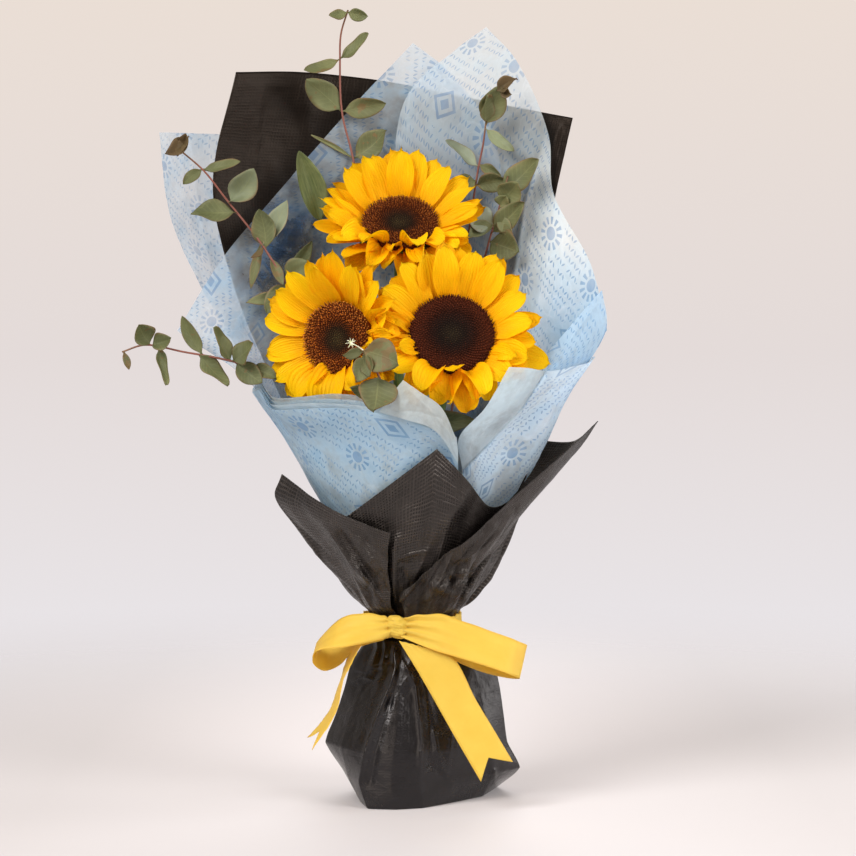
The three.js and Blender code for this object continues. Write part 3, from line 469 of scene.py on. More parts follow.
def mat_wrap(name="wrap", base=("#0a0909", "#0f0d0d", "#171414"), thread="#46413f", emboss=1.0, rough=(0.34, 0.46), spec=0.5, crinkle=0.35, tint="#fff3ea", coat=0.08):
    """Dark coated paper with a fine linen emboss and soft crinkles."""
    N = Nodes(name)
    uv = N.uv()
    s = N.sep(uv)
    wob = N.noise(uv, 0.06, 2)
    wob2 = N.noise(N.vmath("ADD", uv, (71, 13, 0)), 0.06, 2)
    x = N.math("ADD", s[0], N.math("MULTIPLY", wob, 2.5))
    y = N.math("ADD", s[1], N.math("MULTIPLY", wob2, 2.5))
    # threads of uneven thickness, a linen emboss
    tx = N.noise(N.comb(N.math("MULTIPLY", x, 0.55), N.math("MULTIPLY", y, 0.04)), 1.0, 1.5)
    ty = N.noise(N.comb(N.math("MULTIPLY", x, 0.04), N.math("MULTIPLY", y, 0.55)), 1.0, 1.5)
    gx = N.math("MULTIPLY", N.math("POWER", wave(N, x, 2.3), 2.3), N.range(tx, 0.3, 0.7, 0.3, 1.0))
    gy = N.math("MULTIPLY", N.math("POWER", wave(N, y, 2.15), 2.3), N.range(ty, 0.3, 0.7, 0.4, 1.0))
    patch = N.range(N.noise(uv, 0.024, 3), 0.36, 0.64, 0.45, 1.15)
    emb = N.math("MULTIPLY", N.math("MAXIMUM", gx, gy), patch)
    fine = N.noise(uv, 1.6, 4, 0.6)
    big = N.noise(uv, 0.028, 4, 0.6)
    h = N.math("ADD", N.math("MULTIPLY", emb, 0.8 * emboss), N.math("MULTIPLY", fine, 0.2))
    # crinkles: flat facets that meet in creases, fading in and out
    warp = N.vmath("ADD", uv, N.vmath("SCALE", N.noise(uv, 0.05, 3, fac=False)))
    fac = N.voronoi(warp, 0.06, "DISTANCE_TO_EDGE")
    fac2 = N.voronoi(warp, 0.13, "DISTANCE_TO_EDGE")
    mask = N.range(N.noise(uv, 0.022, 3, 0.6), 0.42, 0.66, 0.0, 1.0)
    cr = N.math("MULTIPLY", N.math("ADD", N.math("MULTIPLY", fac, -1.3), N.math("MULTIPLY", fac2, -0.5)), mask)
    soft = N.noise(uv, 0.10, 5, 0.6, 0.6)
    b1 = N.bump(soft, 0.0014, 0.3)
    b1 = N.bump(cr, 0.0022, crinkle, b1)
    b2 = N.bump(h, 0.0006, 0.85, b1)
    col = N.ramp(big, (0.28, hexc(base[0])), (0.55, hexc(base[1])), (0.8, hexc(base[2])))
    col = N.mix(N.math("MULTIPLY", emb, 0.72 * emboss), col, hexc(thread))
    rg = N.math("ADD", N.range(big, 0.3, 0.7, rough[0], rough[1]), N.math("MULTIPLY", emb, -0.05))
    p = N.bsdf(Base_Color=col, Roughness=rg, Normal=b2, Specular_IOR_Level=spec, Specular_Tint=hexc(tint), Coat_Weight=coat, Coat_Roughness=0.22)
    return N.done(p.outputs[0])


def mat_tissue(name, alpha, print_on=1.0, angle=0.0, tint="#dfeaf3", deep="#b4cde4", off=(0, 0), lite="#d3dde0", inkc="#4f8ac8", inkw=0.66, vary=0.5):
    """Thin tissue: light passes, what is behind shows through a little, and a faint print of small
    leaves, suns and lozenges runs across it in rows."""
    N = Nodes(name)
    uv = N.uv()
    m = N.n("ShaderNodeMapping")
    m.inputs["Rotation"].default_value = (0, 0, math.radians(angle))
    m.inputs["Location"].default_value = (off[0], off[1], 0)
    N.link(uv, m.inputs["Vector"])
    q = m.outputs[0]
    s = N.sep(q)
    # rows of small slanted leaf shapes, every row set off from the one before
    row = N.math("FLOOR", N.math("DIVIDE", s[1], 5.6))
    ry = N.math("FRACT", N.math("DIVIDE", s[1], 5.6))
    wn = N.n("ShaderNodeTexWhiteNoise", noise_dimensions="1D")
    N.link(row, wn.inputs["W"])
    cx = N.math("ADD", s[0], N.math("MULTIPLY", wn.outputs["Value"], 90.0))
    cell = N.math("FLOOR", N.math("DIVIDE", cx, 2.9))
    fx = N.math("FRACT", N.math("DIVIDE", cx, 2.9))
    wc = N.n("ShaderNodeTexWhiteNoise", noise_dimensions="2D")
    N.link(N.comb(cell, row), wc.inputs["Vector"])
    wv = wc.outputs["Value"]
    flip = N.math("SUBTRACT", N.math("MULTIPLY", N.math("MODULO", N.math("ABSOLUTE", cell), 2.0), 2.0), 1.0)
    lx = N.math("MULTIPLY", N.math("SUBTRACT", fx, 0.5), 2.9)
    ly = N.math("MULTIPLY", N.math("SUBTRACT", ry, 0.5), 5.6)
    la = N.math("ADD", N.math("MULTIPLY", lx, 0.5), N.math("MULTIPLY", N.math("MULTIPLY", ly, flip), 0.87))
    lb = N.math("SUBTRACT", N.math("MULTIPLY", ly, 0.5), N.math("MULTIPLY", N.math("MULTIPLY", lx, flip), 0.87))
    el = N.math("ADD", N.math("POWER", N.math("ABSOLUTE", N.math("DIVIDE", la, 1.75)), 1.5), N.math("POWER", N.math("ABSOLUTE", N.math("DIVIDE", lb, 0.62)), 1.5))
    small = N.math("LESS_THAN", el, 1.0)
    small = N.math("MULTIPLY", small, N.math("GREATER_THAN", wv, 0.06))
    # the rows are broken by gaps, and some are left out
    gap = N.noise(N.comb(N.math("MULTIPLY", cell, 0.31), row), 1.0, 1.0)
    small = N.math("MULTIPLY", small, N.math("GREATER_THAN", gap, 0.40))
    small = N.math("MULTIPLY", small, N.math("GREATER_THAN", wn.outputs["Value"], 0.1))
    # larger motifs on a 52 x 42 mm lattice: a sun of twelve rays, or a lozenge within a lozenge
    bx = N.math("DIVIDE", s[0], 52.0)
    by = N.math("DIVIDE", s[1], 42.0)
    bi, bj = N.math("FLOOR", bx), N.math("FLOOR", by)
    ux = N.math("MULTIPLY", N.math("SUBTRACT", N.math("FRACT", bx), 0.5), 52.0)
    uy = N.math("MULTIPLY", N.math("SUBTRACT", N.math("FRACT", by), 0.5), 42.0)
    wb = N.n("ShaderNodeTexWhiteNoise", noise_dimensions="2D")
    N.link(N.comb(bi, bj), wb.inputs["Vector"])
    ux = N.math("ADD", ux, N.math("MULTIPLY", N.math("SUBTRACT", wb.outputs["Value"], 0.5), 20.0))
    rr = N.math("POWER", N.math("ADD", N.math("POWER", ux, 2.0), N.math("POWER", uy, 2.0)), 0.5)
    ang = N.math("ARCTAN2", uy, ux)
    ray = N.math("GREATER_THAN", N.math("COSINE", N.math("MULTIPLY", ang, 12.0)), 0.1)
    ray = N.math("MULTIPLY", ray, N.math("SUBTRACT", N.math("LESS_THAN", rr, 10.4), N.math("LESS_THAN", rr, 5.8)))
    sun = N.math("MAXIMUM", ray, N.math("LESS_THAN", rr, 4.2))
    man = N.math("ADD", N.math("ABSOLUTE", ux), N.math("MULTIPLY", N.math("ABSOLUTE", uy), 1.35))
    loz = N.math("SUBTRACT", N.math("LESS_THAN", man, 12.5), N.math("LESS_THAN", man, 9.2))
    loz = N.math("MAXIMUM", loz, N.math("LESS_THAN", man, 5.0))
    pick = N.math("GREATER_THAN", wb.outputs["Value"], 0.5)
    big = N.math("ADD", N.math("MULTIPLY", sun, pick), N.math("MULTIPLY", loz, N.math("SUBTRACT", 1.0, pick)))
    # small print keeps clear of the larger motifs
    clear = N.math("GREATER_THAN", rr, 13.4)
    ink = N.math("MAXIMUM", N.math("MULTIPLY", small, clear), big, clamp=True)
    fade = N.range(N.noise(uv, 0.05, 3), 0.3, 0.7, 0.55, 1.0)
    plain_ = N.attr("plain")
    ink = N.math("MULTIPLY", N.math("MULTIPLY", N.math("MULTIPLY", ink, fade), print_on), N.math("SUBTRACT", 1.0, plain_))
    mott = N.noise(uv, 0.035, 5, 0.6)
    fib = N.noise(uv, 0.9, 4, 0.7)
    base = N.mix(N.range(mott, 0.3, 0.7, 0, 1), hexc(tint), hexc(deep))
    base = N.mix(N.math("MULTIPLY", fib, 0.12), base, hexc("#f4f7f8"))
    base = N.mix(N.math("MULTIPLY", plain_, 0.75), base, hexc(lite))
    base = N.mix(N.math("MULTIPLY", N.attr("fold"), 0.22), base, hexc("#e9eeee"))
    # painted shade: the low mask lays a deeper blue where the sheet curls inward into shade
    base = N.mix(N.math("MULTIPLY", N.attr("low"), 0.85), base, hexc("#92b9d6"))
    # painted shade: deep blue patches where the sheet lies in shade, over the dark paper and in the fold between the
    # front sheets
    painted_shade_patches = N.math("MULTIPLY", N.attr("blue"), N.range(N.noise(uv, 0.055, 4, 0.62), 0.42, 0.6, 0.0, 1.0))
    base = N.mix(N.math("MULTIPLY", painted_shade_patches, 0.85), base, hexc("#2f6fb0"))
    # crumple lines: paler and less see-through than the sheet round them
    warp = N.vmath("ADD", uv, N.vmath("SCALE", N.noise(uv, 0.03, 3, fac=False), k=26.0))
    ln1 = N.range(N.voronoi(warp, 0.03, "DISTANCE_TO_EDGE"), 0.0, 0.045, 1.0, 0.0)
    ln2 = N.range(N.voronoi(N.vmath("ADD", warp, (113, 57, 0)), 0.062, "DISTANCE_TO_EDGE"), 0.0, 0.05, 0.7, 0.0)
    lines = N.math("MULTIPLY", N.math("MAXIMUM", ln1, ln2, clamp=True), N.range(N.noise(uv, 0.02, 3), 0.42, 0.66, 0.0, 1.0))
    base = N.mix(N.math("MULTIPLY", lines, 0.24), base, hexc("#f3f7f9"))
    col = N.mix(N.math("MULTIPLY", ink, inkw), base, hexc(inkc))
    crease = N.noise(uv, 0.16, 6, 0.66, 0.5)
    facet = N.math("ADD", N.voronoi(warp, 0.03, "F1"), N.math("MULTIPLY", N.voronoi(N.vmath("ADD", warp, (113, 57, 0)), 0.062, "F1"), 0.5))
    b = N.bump(crease, 0.0012, 0.35)
    b = N.bump(facet, 0.0030, 0.3, b)
    b = N.bump(fib, 0.0001, 0.35, b)
    p = N.bsdf(Base_Color=col, Roughness=0.72, Normal=b, Specular_IOR_Level=0.28)
    tr = N.n("ShaderNodeBsdfTranslucent")
    N.link(col, tr.inputs[0])
    N.link(b, tr.inputs[1])
    mx = N.n("ShaderNodeMixShader")
    mx.inputs[0].default_value = 0.38
    N.link(p.outputs[0], mx.inputs[1])
    N.link(tr.outputs[0], mx.inputs[2])
    if alpha >= 0.999:
        return N.done(mx.outputs[0])
    tp = N.n("ShaderNodeBsdfTransparent")
    tp.inputs[0].default_value = rgba(hexc("#e2ecf6"))
    m2 = N.n("ShaderNodeMixShader")
    a = N.math("ADD", alpha, N.math("MULTIPLY", ink, 0.18))
    a = N.math("ADD", a, N.math("MULTIPLY", N.range(mott, 0.36, 0.64, -0.5, 0.5), vary))
    a = N.math("ADD", a, N.math("MULTIPLY", N.attr("fold"), 0.34))
    # painted shade: the sheet is also made more see-through in these patches, so the dark behind shows
    a = N.math("ADD", a, N.math("MULTIPLY", N.attr("blue"), -0.24))
    a = N.math("ADD", a, N.math("MULTIPLY", lines, 0.08), clamp=True)
    N.link(a, m2.inputs[0])
    N.link(tp.outputs[0], m2.inputs[1])
    N.link(mx.outputs[0], m2.inputs[2])
    return N.done(m2.outputs[0])


def mat_ribbon():
    N = Nodes("ribbon")
    uv = N.uv()
    s = N.sep(uv)
    warp = wave(N, s[0], 0.42)
    weft = wave(N, N.math("ADD", s[1], N.math("MULTIPLY", s[0], 0.3)), 0.6)
    h = N.math("ADD", N.math("MULTIPLY", warp, 0.4), N.math("MULTIPLY", weft, 0.6))
    big = N.noise(uv, 0.05, 4, 0.6)
    slub = N.noise(N.comb(N.math("MULTIPLY", s[0], 0.15), N.math("MULTIPLY", s[1], 2.5)), 1.0, 2)
    col = N.ramp(big, (0.25, hexc("#ebcb50")), (0.6, hexc("#f0d45b")), (0.85, hexc("#f3db6a")))
    col = N.mix(N.math("MULTIPLY", slub, 0.12), col, hexc("#e8b53a"))
    sel = N.attr("edge")
    col = N.mix(N.math("MULTIPLY", sel, 0.35), col, hexc("#f2c247"))
    b = N.bump(h, 0.00005, 0.55)
    b = N.bump(N.noise(uv, 0.12, 4, 0.6), 0.0008, 0.3, b)
    p = N.bsdf(Base_Color=col, Roughness=N.range(big, 0.3, 0.7, 0.42, 0.56), Normal=b, Specular_IOR_Level=0.4, Sheen_Weight=0.1, Sheen_Roughness=0.4)
    tr = N.n("ShaderNodeBsdfTranslucent")
    N.link(N.mix(0.4, col, hexc("#ffe070")), tr.inputs[0])
    mx = N.n("ShaderNodeMixShader")
    mx.inputs[0].default_value = 0.4
    N.link(p.outputs[0], mx.inputs[1])
    N.link(tr.outputs[0], mx.inputs[2])
    return N.done(mx.outputs[0])


def mat_petal():
    N = Nodes("petal")
    uv = N.uv()
    s = N.sep(uv)  # x -1..1 across, y 0..1 along
    rnd = N.attr("rnd")
    long = N.comb(N.math("ADD", N.math("MULTIPLY", s[0], 5.5), N.math("MULTIPLY", rnd, 37.0)), N.math("MULTIPLY", s[1], 0.7))
    st = N.noise(long, 2.2, 4, 0.65)
    ridges = wave(N, N.math("ADD", s[0], N.math("MULTIPLY", st, 0.12)), 0.21)
    mot = N.noise(N.comb(N.math("ADD", s[0], N.math("MULTIPLY", rnd, 11.0)), N.math("MULTIPLY", s[1], 3.0)), 1.6, 3)
    # deeper orange at the base: partly the petal's own colour, partly painted shade where the petals overlap
    along = N.ramp(s[1], (0.0, hexc("#f99a00")), (0.2, hexc("#ffbc00")), (0.6, hexc("#ffd200")), (1.0, hexc("#ffdc04")))
    col = N.mix(N.range(st, 0.35, 0.7, 0.0, 0.55), along, hexc("#ffb300"))
    col = N.mix(N.range(mot, 0.45, 0.8, 0.0, 0.35), col, hexc("#ffdc08"))
    col = N.mix(N.math("MULTIPLY", rnd, 0.4), col, hexc("#ffbb00"))
    # painted shade: petals of the lower layers, lying under the others, are made a deeper orange
    col = N.mix(N.math("MULTIPLY", N.attr("layer"), 0.22), col, hexc("#f29600"))
    b = N.bump(N.math("ADD", N.math("MULTIPLY", ridges, 0.6), N.math("MULTIPLY", st, 1.1)), 0.0005, 0.9)
    b = N.bump(N.noise(N.obj(), 900, 2), 0.00004, 0.3, b)
    p = N.bsdf(Base_Color=col, Roughness=N.range(st, 0.3, 0.7, 0.5, 0.66), Normal=b, Specular_IOR_Level=0.14)
    tr = N.n("ShaderNodeBsdfTranslucent")
    N.link(N.mix(0.4, col, hexc("#ffc800")), tr.inputs[0])
    N.link(b, tr.inputs[1])
    mx = N.n("ShaderNodeMixShader")
    mx.inputs[0].default_value = 0.3
    N.link(p.outputs[0], mx.inputs[1])
    N.link(tr.outputs[0], mx.inputs[2])
    return N.done(mx.outputs[0])


def mat_disc():
    N = Nodes("disc")
    r = N.attr("rad")  # 0 centre .. 1 rim
    tip = N.attr("tip")
    rnd = N.attr("rnd")
    rust = N.attr("rust")
    o = N.obj()
    sp = N.noise(o, 1400, 3, 0.6)
    bdull = N.ramp(r, (0.0, hexc("#1c150c")), (0.3, hexc("#140b07")), (0.5, hexc("#1e0d07")), (0.66, hexc("#321409")), (0.85, hexc("#40190b")), (1.0, hexc("#34140a")))
    bwarm = N.ramp(r, (0.0, hexc("#2c2413")), (0.3, hexc("#20150b")), (0.46, hexc("#341708")), (0.62, hexc("#5a260b")), (1.0, hexc("#64300d")))
    base = N.mix(rust, bdull, bwarm)
    dull = N.ramp(r, (0.0, hexc("#4c3e28")), (0.3, hexc("#332014")), (0.52, hexc("#3e1b11")), (0.7, hexc("#5a2616")), (0.95, hexc("#642b17")), (1.0, hexc("#74351a")))
    warm = N.ramp(r, (0.0, hexc("#6d6039")), (0.3, hexc("#4c371e")), (0.46, hexc("#964d1a")), (0.62, hexc("#e07c2c")), (0.95, hexc("#ec8f36")), (1.0, hexc("#f2a63c")))
    tips = N.mix(rust, dull, warm)
    k = N.math("MULTIPLY", N.math("POWER", tip, 1.7), N.range(rnd, 0, 1, 0.25, 1.0))
    col = N.mix(k, base, tips)
    col = N.mix(N.math("MULTIPLY", N.range(sp, 0.55, 0.75, 0, 0.35), rust), col, hexc("#7a3510"))
    b = N.bump(sp, 0.00012, 0.6)
    p = N.bsdf(Base_Color=col, Roughness=0.82, Normal=b, Specular_IOR_Level=0.12)
    return N.done(p.outputs[0])


def mat_green(name="green", dark="#46602a", light="#7d9448", pale="#a9b77c"):
    N = Nodes(name)
    uv = N.uv()
    s = N.sep(uv)
    o = N.obj()
    st = N.noise(N.comb(N.math("MULTIPLY", s[0], 0.9), N.math("MULTIPLY", s[1], 0.05)), 1.0, 4, 0.6)
    n = N.noise(o, 60, 4, 0.6)
    hair = N.voronoi(o, 900)
    col = N.mix(N.range(st, 0.3, 0.7, 0, 1), hexc(dark), hexc(light))
    col = N.mix(N.range(n, 0.45, 0.75, 0, 0.5), col, hexc(pale))
    b = N.bump(st, 0.0005, 0.6)
    b = N.bump(hair, 0.0002, 0.4, b)
    p = N.bsdf(Base_Color=col, Roughness=N.range(n, 0.3, 0.7, 0.5, 0.7), Normal=b, Specular_IOR_Level=0.35, Sheen_Weight=0.15, Sheen_Roughness=0.4)
    return N.done(p.outputs[0])


def mat_leaf():
    """Eucalyptus: uv x -1..1 across, y 0..1 along; attribute tone shifts green to grey or brown."""
    N = Nodes("eucalyptus_leaf")
    uv = N.uv()
    s = N.sep(uv)
    tone = N.attr("tone")
    dry = N.attr("dry")
    side = N.attr("side")
    o = N.obj()
    ax = N.math("ABSOLUTE", s[0])
    n1 = N.noise(o, 45, 5, 0.65)
    n2 = N.noise(o, 330, 4, 0.6)
    base = N.ramp(tone, (0.0, hexc("#454a28")), (0.2, hexc("#565b33")), (0.4, hexc("#6d7042")), (0.7, hexc("#858d66")), (1.0, hexc("#a9b5a6")))
    col = N.mix(N.range(n1, 0.35, 0.7, 0, 0.4), base, hexc("#85854d"))
    col = N.mix(N.math("MULTIPLY", N.attr("rnd"), 0.35), col, hexc("#3e4526"))
    col = N.mix(N.range(n2, 0.5, 0.8, 0, 0.2), col, hexc("#9a9f74"))
    # veins: midrib and side nerves at a slant
    mid = N.math("SUBTRACT", 1.0, N.math("MULTIPLY", ax, 16.0), clamp=True)
    nerve = wave(N, N.math("SUBTRACT", s[1], N.math("MULTIPLY", ax, 0.24)), 0.115)
    nerve = N.math("POWER", nerve, 9.0)
    vein = N.math("MAXIMUM", mid, N.math("MULTIPLY", nerve, 0.42), clamp=True)
    col = N.mix(N.math("MULTIPLY", vein, 0.4), col, hexc("#9b9c62"))
    # reddish margin and tip, with brown where the leaf has dried
    rim = N.math("POWER", N.math("MAXIMUM", ax, N.math("MULTIPLY", N.math("SUBTRACT", s[1], 0.86), 6.0)), 10.0, clamp=True)
    col = N.mix(N.math("MULTIPLY", rim, N.range(n1, 0.35, 0.65, 0.0, 0.8)), col, hexc("#8f573a"))
    spot = N.math("GREATER_THAN", N.math("ADD", N.noise(o, 150, 3), N.math("MULTIPLY", dry, 0.45)), 0.74)
    col = N.mix(N.math("MULTIPLY", spot, 0.6), col, hexc("#8a5a30"))
    col = N.mix(N.math("MULTIPLY", N.math("POWER", dry, 1.6), N.range(n1, 0.3, 0.6, 0.45, 1.0)), col, hexc("#553619"))
    col = N.mix(N.math("MULTIPLY", side, 0.12), col, hexc("#a9b193"))
    col = N.mix(N.range(N.noise(o, 28, 3), 0.45, 0.62, 0.0, 0.4), col, hexc("#3f4626"))
    b = N.bump(vein, 0.00022, 0.6)
    b = N.bump(n2, 0.00012, 0.5, b)
    p = N.bsdf(Base_Color=col, Roughness=N.range(n1, 0.3, 0.7, 0.46, 0.64), Normal=b, Specular_IOR_Level=0.25)
    tr = N.n("ShaderNodeBsdfTranslucent")
    N.link(N.mix(0.4, col, hexc("#8f9a3c")), tr.inputs[0])
    mx = N.n("ShaderNodeMixShader")
    mx.inputs[0].default_value = 0.16
    N.link(p.outputs[0], mx.inputs[1])
    N.link(tr.outputs[0], mx.inputs[2])
    return N.done(mx.outputs[0])


def mat_twig():
    N = Nodes("twig")
    uv = N.uv()
    s = N.sep(uv)
    t = N.attr("along")
    n = N.noise(N.comb(N.math("MULTIPLY", s[0], 0.8), N.math("MULTIPLY", s[1], 0.12)), 1.0, 4, 0.65)
    col = N.ramp(t, (0.0, hexc("#7a5f42")), (0.12, hexc("#84493c")), (0.4, hexc("#86544a")), (0.7, hexc("#7c6046")), (1.0, hexc("#77704a")))
    col = N.mix(N.range(n, 0.35, 0.7, 0, 0.6), col, hexc("#6f4a3c"))
    b = N.bump(n, 0.0003, 0.7)
    p = N.bsdf(Base_Color=col, Roughness=N.range(n, 0.3, 0.7, 0.45, 0.65), Normal=b, Specular_IOR_Level=0.4)
    return N.done(p.outputs[0])


def mat_floret():
    N = Nodes("floret")
    n = N.noise(N.obj(), 500, 3)
    col = N.mix(N.range(n, 0.35, 0.65, 0, 1), hexc("#f1eedb"), hexc("#c9cf9c"))
    p = N.bsdf(Base_Color=col, Roughness=N.range(n, 0.3, 0.7, 0.5, 0.7), Normal=N.bump(n, 0.0002, 0.5))
    return N.done(p.outputs[0])


def mat_rubber():
    N = Nodes("rubber")
    n = N.noise(N.obj(), 300, 4)
    col = N.mix(n, hexc("#b98a55"), hexc("#cfa474"))
    p = N.bsdf(Base_Color=col, Roughness=0.6, Normal=N.bump(n, 0.0002, 0.5))
    return N.done(p.outputs[0])


M_WRAP = mat_wrap("wrap", ("#050404", "#080707", "#0e0c0c"), "#4e4743", 1.0, (0.22, 0.34), 0.44, 0.4, "#fff3ea", 0.08)
# painted shade: the back sheet is the same paper, given a darker, duller copy of the wrap for the shade it lies in
M_WRAP_BACK_SHADED = mat_wrap("wrap_back", ("#050403", "#080605", "#0d0a08"), "#2a231f", 0.6, (0.40, 0.5), 0.2, 0.25, "#ffe2cc", 0.02)
M_WRAP_FOOT = mat_wrap("wrap_foot", ("#060607", "#0a090b", "#100e10"), "#221e1e", 0.12, (0.2, 0.32), 0.46, 0.5, "#f4eeee", 0.05)
M_RIBBON = mat_ribbon()
M_PETAL = mat_petal()
M_DISC = mat_disc()
M_GREEN = mat_green()
M_BLADE = mat_green("blade", "#414c26", "#646c3c", "#8a8c5c")
M_LEAF = mat_leaf()
M_TWIG = mat_twig()
M_RUBBER = mat_rubber()
M_FLORET = mat_floret()

# ------------------------------------------------------------------ camera, light and floor
sc = bpy.context.scene
cam = bpy.data.cameras.new("camera")
cam.sensor_width = 36.0
cam.lens = FOCAL * 36.0 / 856.0
cam.clip_start, cam.clip_end = 0.05, 50.0
camo = bpy.data.objects.new("camera", cam)
camo.location = Vector(EYE * 0.001)
camo.rotation_euler = (Vector(AIM * 0.001) - Vector(EYE * 0.001)).to_track_quat("-Z", "Y").to_euler()
sc.collection.objects.link(camo)
sc.camera = camo
sc.view_settings.view_transform = "Standard"


def area(name, loc, target, size, power, color, shape="RECTANGLE", size_y=None):
    li = bpy.data.lights.new(name, "AREA")
    li.shape = shape
    li.size = size
    li.size_y = size_y or size
    li.energy = power
    li.color = color
    ob = bpy.data.objects.new(name, li)
    ob.location = loc
    ob.rotation_euler = (Vector(target) - Vector(loc)).to_track_quat("-Z", "Y").to_euler()
    sc.collection.objects.link(ob)


area("key", (-1.3, -1.5, 1.7), (0, 0, 0.3), 1.15, 57, (1.0, 0.985, 0.965))
area("fill", (1.6, -1.3, 1.0), (0, 0, 0.3), 1.2, 30, (1.0, 0.985, 0.975))
area("back", (0.3, 1.6, 1.5), (0, 0, 0.35), 1.4, 19, (1.0, 0.98, 0.97))
area("rim", (1.5, 0.25, 0.55), (0, 0, 0.25), 0.5, 7, (1.0, 0.99, 0.98), size_y=1.3)
area("low", (-0.5, -1.6, 0.25), (0, 0, 0.15), 0.6, 2.6, (1.0, 0.88, 0.76))

world = bpy.data.worlds.new("studio")
sc.world = world
world.use_nodes = True
wt = world.node_tree
wt.nodes.clear()
wo = wt.nodes.new("ShaderNodeOutputWorld")
wb = wt.nodes.new("ShaderNodeBackground")
tc = wt.nodes.new("ShaderNodeTexCoord")
sx = wt.nodes.new("ShaderNodeSeparateXYZ")
wr = wt.nodes.new("ShaderNodeValToRGB")
wt.links.new(tc.outputs["Generated"], sx.inputs[0])
mr = wt.nodes.new("ShaderNodeMapRange")
mr.inputs[1].default_value, mr.inputs[2].default_value = -0.15, 0.18
wt.links.new(sx.outputs[2], mr.inputs[0])
wt.links.new(mr.outputs[0], wr.inputs[0])
els = wr.color_ramp.elements
els[0].position, els[0].color = 0.0, rgba(hexc("#efecf0"))
els[1].position, els[1].color = 1.0, rgba(hexc("#f1e4d9"))
e = els.new(0.45)
e.color = rgba(hexc("#e9e0de"))
wt.links.new(wr.outputs[0], wb.inputs[0])
lp = wt.nodes.new("ShaderNodeLightPath")
ms = wt.nodes.new("ShaderNodeMapRange")
ms.inputs[3].default_value, ms.inputs[4].default_value = 0.5, 0.95
wt.links.new(lp.outputs["Is Camera Ray"], ms.inputs[0])
wt.links.new(ms.outputs[0], wb.inputs[1])
wt.links.new(wb.outputs[0], wo.inputs[0])


def make_floor():
    n, rings = 96, 24
    rad = np.linspace(0, 1500, rings)
    V = [[0, 0, 0]]
    for r in rad[1:]:
        a = np.linspace(0, 2 * math.pi, n, endpoint=False)
        V += np.stack([r * np.cos(a), r * np.sin(a), np.zeros(n)], -1).tolist()
    F = [[0, 1 + k, 1 + (k + 1) % n] for k in range(n)]
    for i in range(rings - 2):
        for k in range(n):
            a, b = 1 + i * n + k, 1 + i * n + (k + 1) % n
            F.append([a, a + n, b + n, b])
    ob = mesh_obj("floor", V, F)
    N = Nodes("floor")
    o = N.obj()
    s = N.sep(o)
    rr = N.math("POWER", N.math("ADD", N.math("POWER", s[0], 2.0), N.math("POWER", s[1], 2.0)), 0.5)
    fade = N.n("ShaderNodeMapRange", interpolation_type="SMOOTHSTEP")
    N.link(rr, fade.inputs[0])
    fade.inputs[1].default_value, fade.inputs[2].default_value = 0.25, 1.35
    fade.inputs[3].default_value, fade.inputs[4].default_value = 1.0, 0.0
    n1 = N.noise(o, 6, 4)
    col = N.mix(N.range(n1, 0.3, 0.7, 0, 0.35), hexc("#dbd6d8"), hexc("#dfdad9"))
    # painted shade: the floor is made darker towards the front and out to both sides
    col = N.mix(N.range(s[1], -0.45, 0.25, 0.55, 0.0), col, hexc("#c0bfc3"))
    col = N.mix(N.range(N.math("ABSOLUTE", s[0]), 0.06, 0.28, 0.0, 1.0), col, hexc("#c8c4c5"))
    p = N.bsdf(Base_Color=col, Roughness=0.6, Specular_IOR_Level=0.25)
    tp = N.n("ShaderNodeBsdfTransparent")
    mx = N.n("ShaderNodeMixShader")
    N.link(fade.outputs[0], mx.inputs[0])
    N.link(tp.outputs[0], mx.inputs[1])
    N.link(p.outputs[0], mx.inputs[2])
    ob.data.materials.append(N.done(mx.outputs[0]))
    ob.location.z = -0.0002
    ob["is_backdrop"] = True


make_floor()

# ------------------------------------------------------------------ sheets
def pleats(V, top=250.0):
    """Small gathers round the tie, the same in every layer so that they nest."""
    x, y, z = V[..., 0] - WAIST_X, V[..., 1], V[..., 2]
    r = np.maximum(np.hypot(x, y), 1e-6)
    a = np.arctan2(y, x)
    w = 0.25 * vnoise(n3(np.cos(a) * 1.5, np.sin(a) * 1.5, z * 0.01), 5)
    tri = np.abs(((a / (2 * math.pi) * 15 + w) % 1.0) * 2 - 1) * 2 - 1
    tri2 = np.abs(((a / (2 * math.pi) * 29 + 2 * w) % 1.0) * 2 - 1) * 2 - 1
    amp = np.interp(z, [100, 118, 134, 146, 160, 185, top], [0.4, 0.7, 0.9, 1.2, 0.7, 0.25, 0.0])
    big = vnoise(n3(np.cos(a) * 2.1, np.sin(a) * 2.1, z * 0.004), 21)
    d = amp * (tri + 0.5 * tri2) + big * np.interp(z, [134, 165, 200, 260], [0, 1.8, 1.6, 0])
    out = V.copy()
    out[..., 0] += x / r * d
    out[..., 1] += y / r * d
    return out


def seg_dist(px, py, line):
    """Distance to a polyline, which side of it, and the share along it."""
    best = np.full(px.shape, 1e9)
    side = np.zeros(px.shape)
    along = np.zeros(px.shape)
    line = np.asarray(line, float)
    lens = np.linalg.norm(np.diff(line, axis=0), axis=1)
    tot, acc = lens.sum(), 0.0
    for (ax, ay), (bx, by), ln in zip(line[:-1], line[1:], lens):
        dx, dy = bx - ax, by - ay
        t = np.clip(((px - ax) * dx + (py - ay) * dy) / (ln * ln), 0, 1)
        d = np.hypot(px - ax - t * dx, py - ay - t * dy)
        s = np.sign((px - ax) * dy - (py - ay) * dx)
        m = d < best
        best = np.where(m, d, best)
        side = np.where(m, s, side)
        along = np.where(m, (acc + t * ln) / tot, along)
        acc += ln
    return best, side, along


